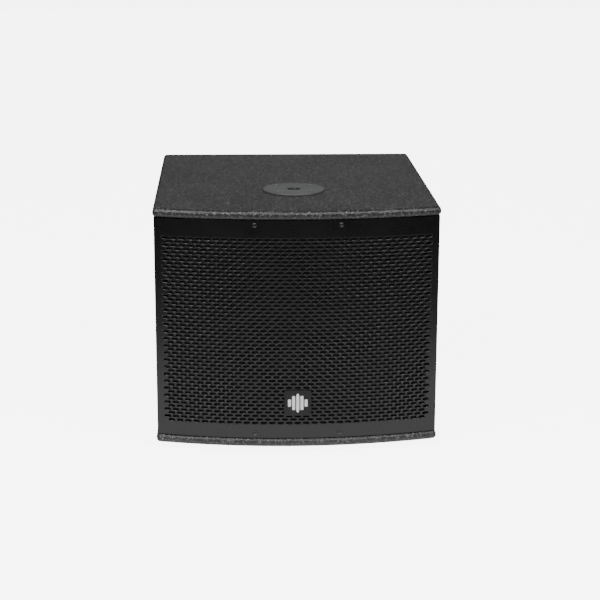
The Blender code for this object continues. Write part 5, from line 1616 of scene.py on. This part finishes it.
class CABINET_OT_connectors(bpy.types.Operator):
    """Build the signal connectors and the mains inlet"""

    bl_idname = "cabinet.connectors"
    bl_label = "Connectors"

    def execute(self, context):
        screw = pan_screw(0.0024, 0.0012)
        spots = []
        for side in ("left", "right"):
            spots += self.signal_socket(f"input_socket_{side}", True)
            spots += self.signal_socket(f"output_socket_{side}", False)
            self.latch(f"latch_tab_{side}")
        spots += self.mains_inlet()
        screw_set("connector_screws", screw, spots)
        self.fuse_drawer()
        return {"FINISHED"}

    def signal_socket(self, name, female):
        """An oblong flange lofted into a round bore, and its contacts. Returns its screws' places."""
        low, size, top, place = rear_fitting(name)
        width, tall = size.x, size.z
        back = low.y - PLATE_FACE
        steps = 96
        base = top - 0.0020
        bore, barrel = 0.0095, 0.0114
        contact_reach, pin, pin_tip, screw_inset = 0.0045, 0.00115, -0.0020, 0.0034

        def ring(radius, height):
            turns = [2 * math.pi * (i + 0.5) / steps for i in range(steps)]
            return [(radius * math.cos(turn), radius * math.sin(turn), height) for turn in turns]

        bm = bmesh.new()
        loops = [
            ring(barrel, back),
            ring(barrel, base),
            rounded_loop(width, tall, 0.0030, base, steps),
            rounded_loop(width, tall, 0.0030, top - 0.0005, steps),
            rounded_loop(width - 0.0010, tall - 0.0010, 0.0030, top, steps),
            ring(bore + 0.0022, top),
            ring(bore + 0.0018, top - 0.0004),
            ring(bore + 0.0006, top - 0.0004),
            ring(bore, top - 0.0010),
            ring(bore, back + 0.003),
        ]
        loft(bm, loops)
        if female:
            self.slot_way(bm)
        finish_piece(f"{name}_shell", bm, "moulding", "moulding", place=place, replaces=(name,))
        bm = bmesh.new()
        for degrees in (0, 180, 270):
            angle = math.radians(degrees)
            part = bmesh.new()
            if female:
                r, z0, z1 = 0.0014, top - 0.0035, top - 0.0016
                profile = [(0.0008, z0), (r, z0), (r, z1), (0.0012, z1 + 0.0001), (0.0008, z1)]
                turned_ring(part, profile, 24)
            else:
                dome = arc_profile(pin, pin_tip - 0.0010, pin_tip, 5)
                lathe(part, [(0, back + 0.002), (pin, back + 0.002), *dome, (0, pin_tip)], 20)
            spot = (contact_reach * math.cos(angle), contact_reach * math.sin(angle), 0)
            part.transform(Matrix.Translation(spot))
            append(bm, part)
        finish_piece(f"{name}_contacts", bm, "contact_gold", "contact_steel", place=place)
        if female:
            bm = bmesh.new()
            profile = [
                (0, back + 0.0028), (0.0071, back + 0.0028), (0.0071, top - 0.0024),
                (0.0068, top - 0.0021), (0, top - 0.0021),
            ]
            lathe(bm, profile, 64)
            finish_piece(f"{name}_insert", bm, "glossy_moulding", "moulding", place=place)
        lean = 1 if female else -1
        return [
            place
            @ Matrix.Translation((sx * (width / 2 - screw_inset), sx * lean * (tall / 2 - screw_inset), top))
            @ Matrix.Rotation(1.3 * sx, 4, "Z")
            for sx in (-1, 1)
        ]

    def slot_way(self, bm):
        """A raised rim round the latch's slot."""
        part = bmesh.new()
        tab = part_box("latch_tab_left")
        up = (tab[0].z + tab[1].z) / 2 - node_middle("input_socket_left").z
        top = node_high("input_socket_left").y - PLATE_FACE
        rows = [
            (0.0096, 0.0050, 0.0008, top - 0.0002),
            (0.0096, 0.0050, 0.0008, top + 0.0004),
            (0.0080, 0.0035, 0.0005, top + 0.0004),
            (0.0080, 0.0035, 0.0005, top - 0.0002),
        ]
        hoop(part, rounded_loops(rows, 40))
        part.transform(Matrix.Translation((0, up, 0)))
        append(bm, part)

    def latch(self, name):
        """The plated tab, ridged on its outer face."""
        low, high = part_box(name)
        middle = (low + high) / 2
        place = rear_place(middle.x, middle.z, high.y)
        size = (high.x - low.x - 0.0001, high.z - low.z - 0.0001, high.y - low.y)
        bm = bmesh.new()
        add_block(bm, size, (0, 0, -size[2] / 2), 0.0004)
        for number in (-1, 0, 1):
            add_block(bm, (size[0] * 0.7, 0.0003, 0.0003), (0, number * 0.0008, 0), 0.0001)
        finish_piece(f"{name}_metal", bm, "plated_steel", "contact_steel", name, place, (name,))

    def mains_inlet(self):
        """The recess's lining and blades. Returns its screws' places."""
        _, _, top, place = rear_fitting("mains_inlet")
        coat_node("mains_inlet", "moulding")
        bm = bmesh.new()
        width, tall = 0.0245, 0.0165
        up = 0.005
        cham = 0.0045
        lip = 0.0010

        def recess(grow, height):
            w, t = width / 2 + grow, tall / 2 + grow
            return [
                (-w, up - t, height),
                (w, up - t, height),
                (w, up + t - cham, height),
                (w - cham, up + t, height),
                (-w + cham, up + t, height),
                (-w, up + t - cham, height),
            ]

        deep = top - 0.0150
        lips = (
            (lip, top + 0.00002), (lip, top + 0.0005), (-0.0002, top + 0.0005), (-0.0004, deep),
            (-0.0008, deep),
        )
        hoop(bm, [recess(grow, height) for grow, height in lips])
        finish_piece("mains_recess_lining", bm, "glossy_moulding", "moulding", place=place)
        bm = bmesh.new()
        for dx, dz in ((-0.007, 0), (0, 0.004), (0.007, 0)):
            add_block(bm, (0.0023, 0.0043, 0.0120), (dx, up + dz, deep + 0.0062), 0.0005)
        finish_piece("mains_blades", bm, "plated_steel", "contact_steel", place=place)
        return [
            place @ Matrix.Translation((sx * 0.0205, 0.0, top)) @ Matrix.Rotation(0.6 * sx, 4, "Z")
            for sx in (-1, 1)
        ]

    def fuse_drawer(self):
        """The drawer's front with its finger recess."""
        low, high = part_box("fuse_drawer")
        middle = (low + high) / 2
        place = rear_place(middle.x, middle.z, high.y)
        wide, tall, deep = high.x - low.x, high.z - low.z, high.y - low.y
        bm = bmesh.new()
        rows = [
            (wide - 0.0002, tall - 0.0002, 0.0006, -deep),
            (wide - 0.0002, tall - 0.0002, 0.0006, -0.0008),
            (wide - 0.0010, tall - 0.0010, 0.0008, -0.0001),
            (wide - 0.0060, tall - 0.0030, 0.0010, -0.0001),
            (wide - 0.0070, tall - 0.0036, 0.0010, -0.0009),
        ]
        loft(bm, rounded_loops(rows, 48))
        finish_piece("fuse_drawer_body", bm, "moulding", "moulding", "fuse_drawer", place, ("fuse_drawer",))


# Studio


class CABINET_OT_studio(bpy.types.Operator):
    """Build the pale floor, the soft lights and the camera"""

    bl_idname = "cabinet.studio"
    bl_label = "Studio"

    def execute(self, context):
        stage = settings().stage
        self.floor(stage)
        self.room(context, stage)
        front_size, front_aim, left_share = (0.7, 0.9), (0, -0.1, 0.3), 1.2
        softbox("left_softbox", left_share * stage.fill, front_size, (-1.0, -1.45, 2.0), front_aim)
        softbox("right_softbox", stage.fill, front_size, (1.0, -1.45, 2.0), front_aim)
        softbox("rear_softbox", stage.rear, (1.8, 0.9), (0.3, 2.9, 1.2), (0, 0.2, 0.42))
        self.camera(context, stage)
        return {"FINISHED"}

    def floor(self, stage):
        """The pale table that fills the view."""
        bm = bmesh.new()
        bmesh.ops.create_grid(bm, x_segments=8, y_segments=8, size=9.0)
        mesh = bpy.data.meshes.new("studio_floor")
        bm.to_mesh(mesh)
        bm.free()
        floor = bpy.data.objects.new("studio_floor", mesh)
        bpy.context.scene.collection.objects.link(floor)
        mesh.materials.append(self.paper(stage))

    def paper(self, stage):
        """Pale paper that looks evenly bright, and reflects as a table that ends in the dark."""
        finish = bpy.data.materials.new("studio_paper")
        finish.use_nodes = True
        tree = finish.node_tree
        shader = tree.nodes["Principled BSDF"]
        shader.inputs["Roughness"].default_value = 0.9
        place = tree.nodes.new("ShaderNodeTexCoord")
        away = tree.nodes.new("ShaderNodeVectorMath")
        away.operation = "LENGTH"
        link(tree, place.outputs["Object"], away.inputs[0])
        seen = tree.nodes.new("ShaderNodeLightPath").outputs["Is Camera Ray"]
        pale = range_node(tree, away.outputs["Value"], stage.table, 1.6 * stage.table, 1.0, 0.0)
        pale = math_node(tree, "MAXIMUM", pale, seen)
        paper = (*stage.floor, 1)
        link(tree, mix_node(tree, pale, (0.02, 0.02, 0.02, 1), paper), shader.inputs["Base Color"])
        shader.inputs["Emission Color"].default_value = (1, 1, 1, 1)
        glow = math_node(tree, "MULTIPLY", pale, stage.glow)
        glow = math_node(tree, "ADD", glow, math_node(tree, "MULTIPLY", seen, stage.backdrop))
        link(tree, glow, shader.inputs["Emission Strength"])
        return finish

    def room(self, context, stage):
        """A dim room that looks bright only to the camera."""
        world = bpy.data.worlds.new("studio_room")
        world.use_nodes = True
        tree = world.node_tree
        sky = tree.nodes["Background"]
        sky.inputs["Color"].default_value = (1, 1, 1, 1)
        seen = tree.nodes.new("ShaderNodeLightPath").outputs["Is Camera Ray"]
        link(tree, range_node(tree, seen, 0, 1, stage.room, stage.backdrop), sky.inputs["Strength"])
        context.scene.world = world

    def camera(self, context, stage):
        """Stands in front, a little to the left and well above, as a product is looked at."""
        data = bpy.data.cameras.new("studio_camera")
        data.sensor_width, data.lens = 36, stage.lens
        camera = bpy.data.objects.new("studio_camera", data)
        context.scene.collection.objects.link(camera)
        aim = Vector((0.0048, -0.2494, 0.2585))
        azimuth, elevation, roll = (math.radians(degrees) for degrees in (-2.51, 14.64, 0.153))
        away = 2.7548
        flat = math.cos(elevation)
        back = Vector((math.sin(azimuth) * flat, -math.cos(azimuth) * flat, math.sin(elevation)))
        camera.matrix_world = (
            Matrix.Translation(aim + back * away)
            @ (-back).to_track_quat("-Z", "Y").to_matrix().to_4x4()
            @ Matrix.Rotation(roll, 4, "Z")
        )
        context.scene.camera = camera


def softbox(name, power, size, place, aim):
    """A rectangular light of this width and height, turned towards its aim."""
    data = bpy.data.lights.new(name, "AREA")
    data.shape = "RECTANGLE"
    data.size, data.size_y = size
    data.energy = power
    light = bpy.data.objects.new(name, data)
    bpy.context.scene.collection.objects.link(light)
    look = Vector(aim) - Vector(place)
    light.matrix_world = Matrix.Translation(place) @ look.to_track_quat("-Z", "Y").to_matrix().to_4x4()


class CABINET_PT_panel(bpy.types.Panel):
    """Lists the pieces and the studio"""

    bl_idname = "CABINET_PT_panel"
    bl_label = "Bass Cabinet"
    bl_space_type = "VIEW_3D"
    bl_region_type = "UI"
    bl_category = "Cabinet"

    def draw(self, context):
        made = context.scene.bass_cabinet
        for part in (made.boards, made.grille, made.badge, made.colours, made.stage):
            box = self.layout.box()
            for name in part.bl_rna.properties.keys():
                if name not in ("rna_type", "name"):
                    box.prop(part, name)
        for operator in OPERATORS:
            self.layout.operator(operator.bl_idname)


OPERATORS = (
    CABINET_OT_studio,
    CABINET_OT_boards,
    CABINET_OT_grille,
    CABINET_OT_foam,
    CABINET_OT_badge,
    CABINET_OT_front_screws,
    CABINET_OT_stand_plate,
    CABINET_OT_feet,
    CABINET_OT_handles,
    CABINET_OT_ports,
    CABINET_OT_driver,
    CABINET_OT_amplifier,
    CABINET_OT_knobs,
    CABINET_OT_switches,
    CABINET_OT_connectors,
)
CLASSES = (
    BoardSettings,
    GrilleSettings,
    BadgeSettings,
    FinishColours,
    StageSettings,
    CabinetSettings,
    *OPERATORS,
    CABINET_PT_panel,
)


def register():
    for cls in CLASSES:
        bpy.utils.register_class(cls)
    bpy.types.Scene.bass_cabinet = PointerProperty(type=CabinetSettings)


def unregister():
    del bpy.types.Scene.bass_cabinet
    for cls in reversed(CLASSES):
        bpy.utils.unregister_class(cls)


def main():
    register()
    for operator in OPERATORS:
        category, name = operator.bl_idname.split(".")
        getattr(getattr(bpy.ops, category), name)()
    bpy.context.view_layer.update()


if __name__ == "__main__":
    main()
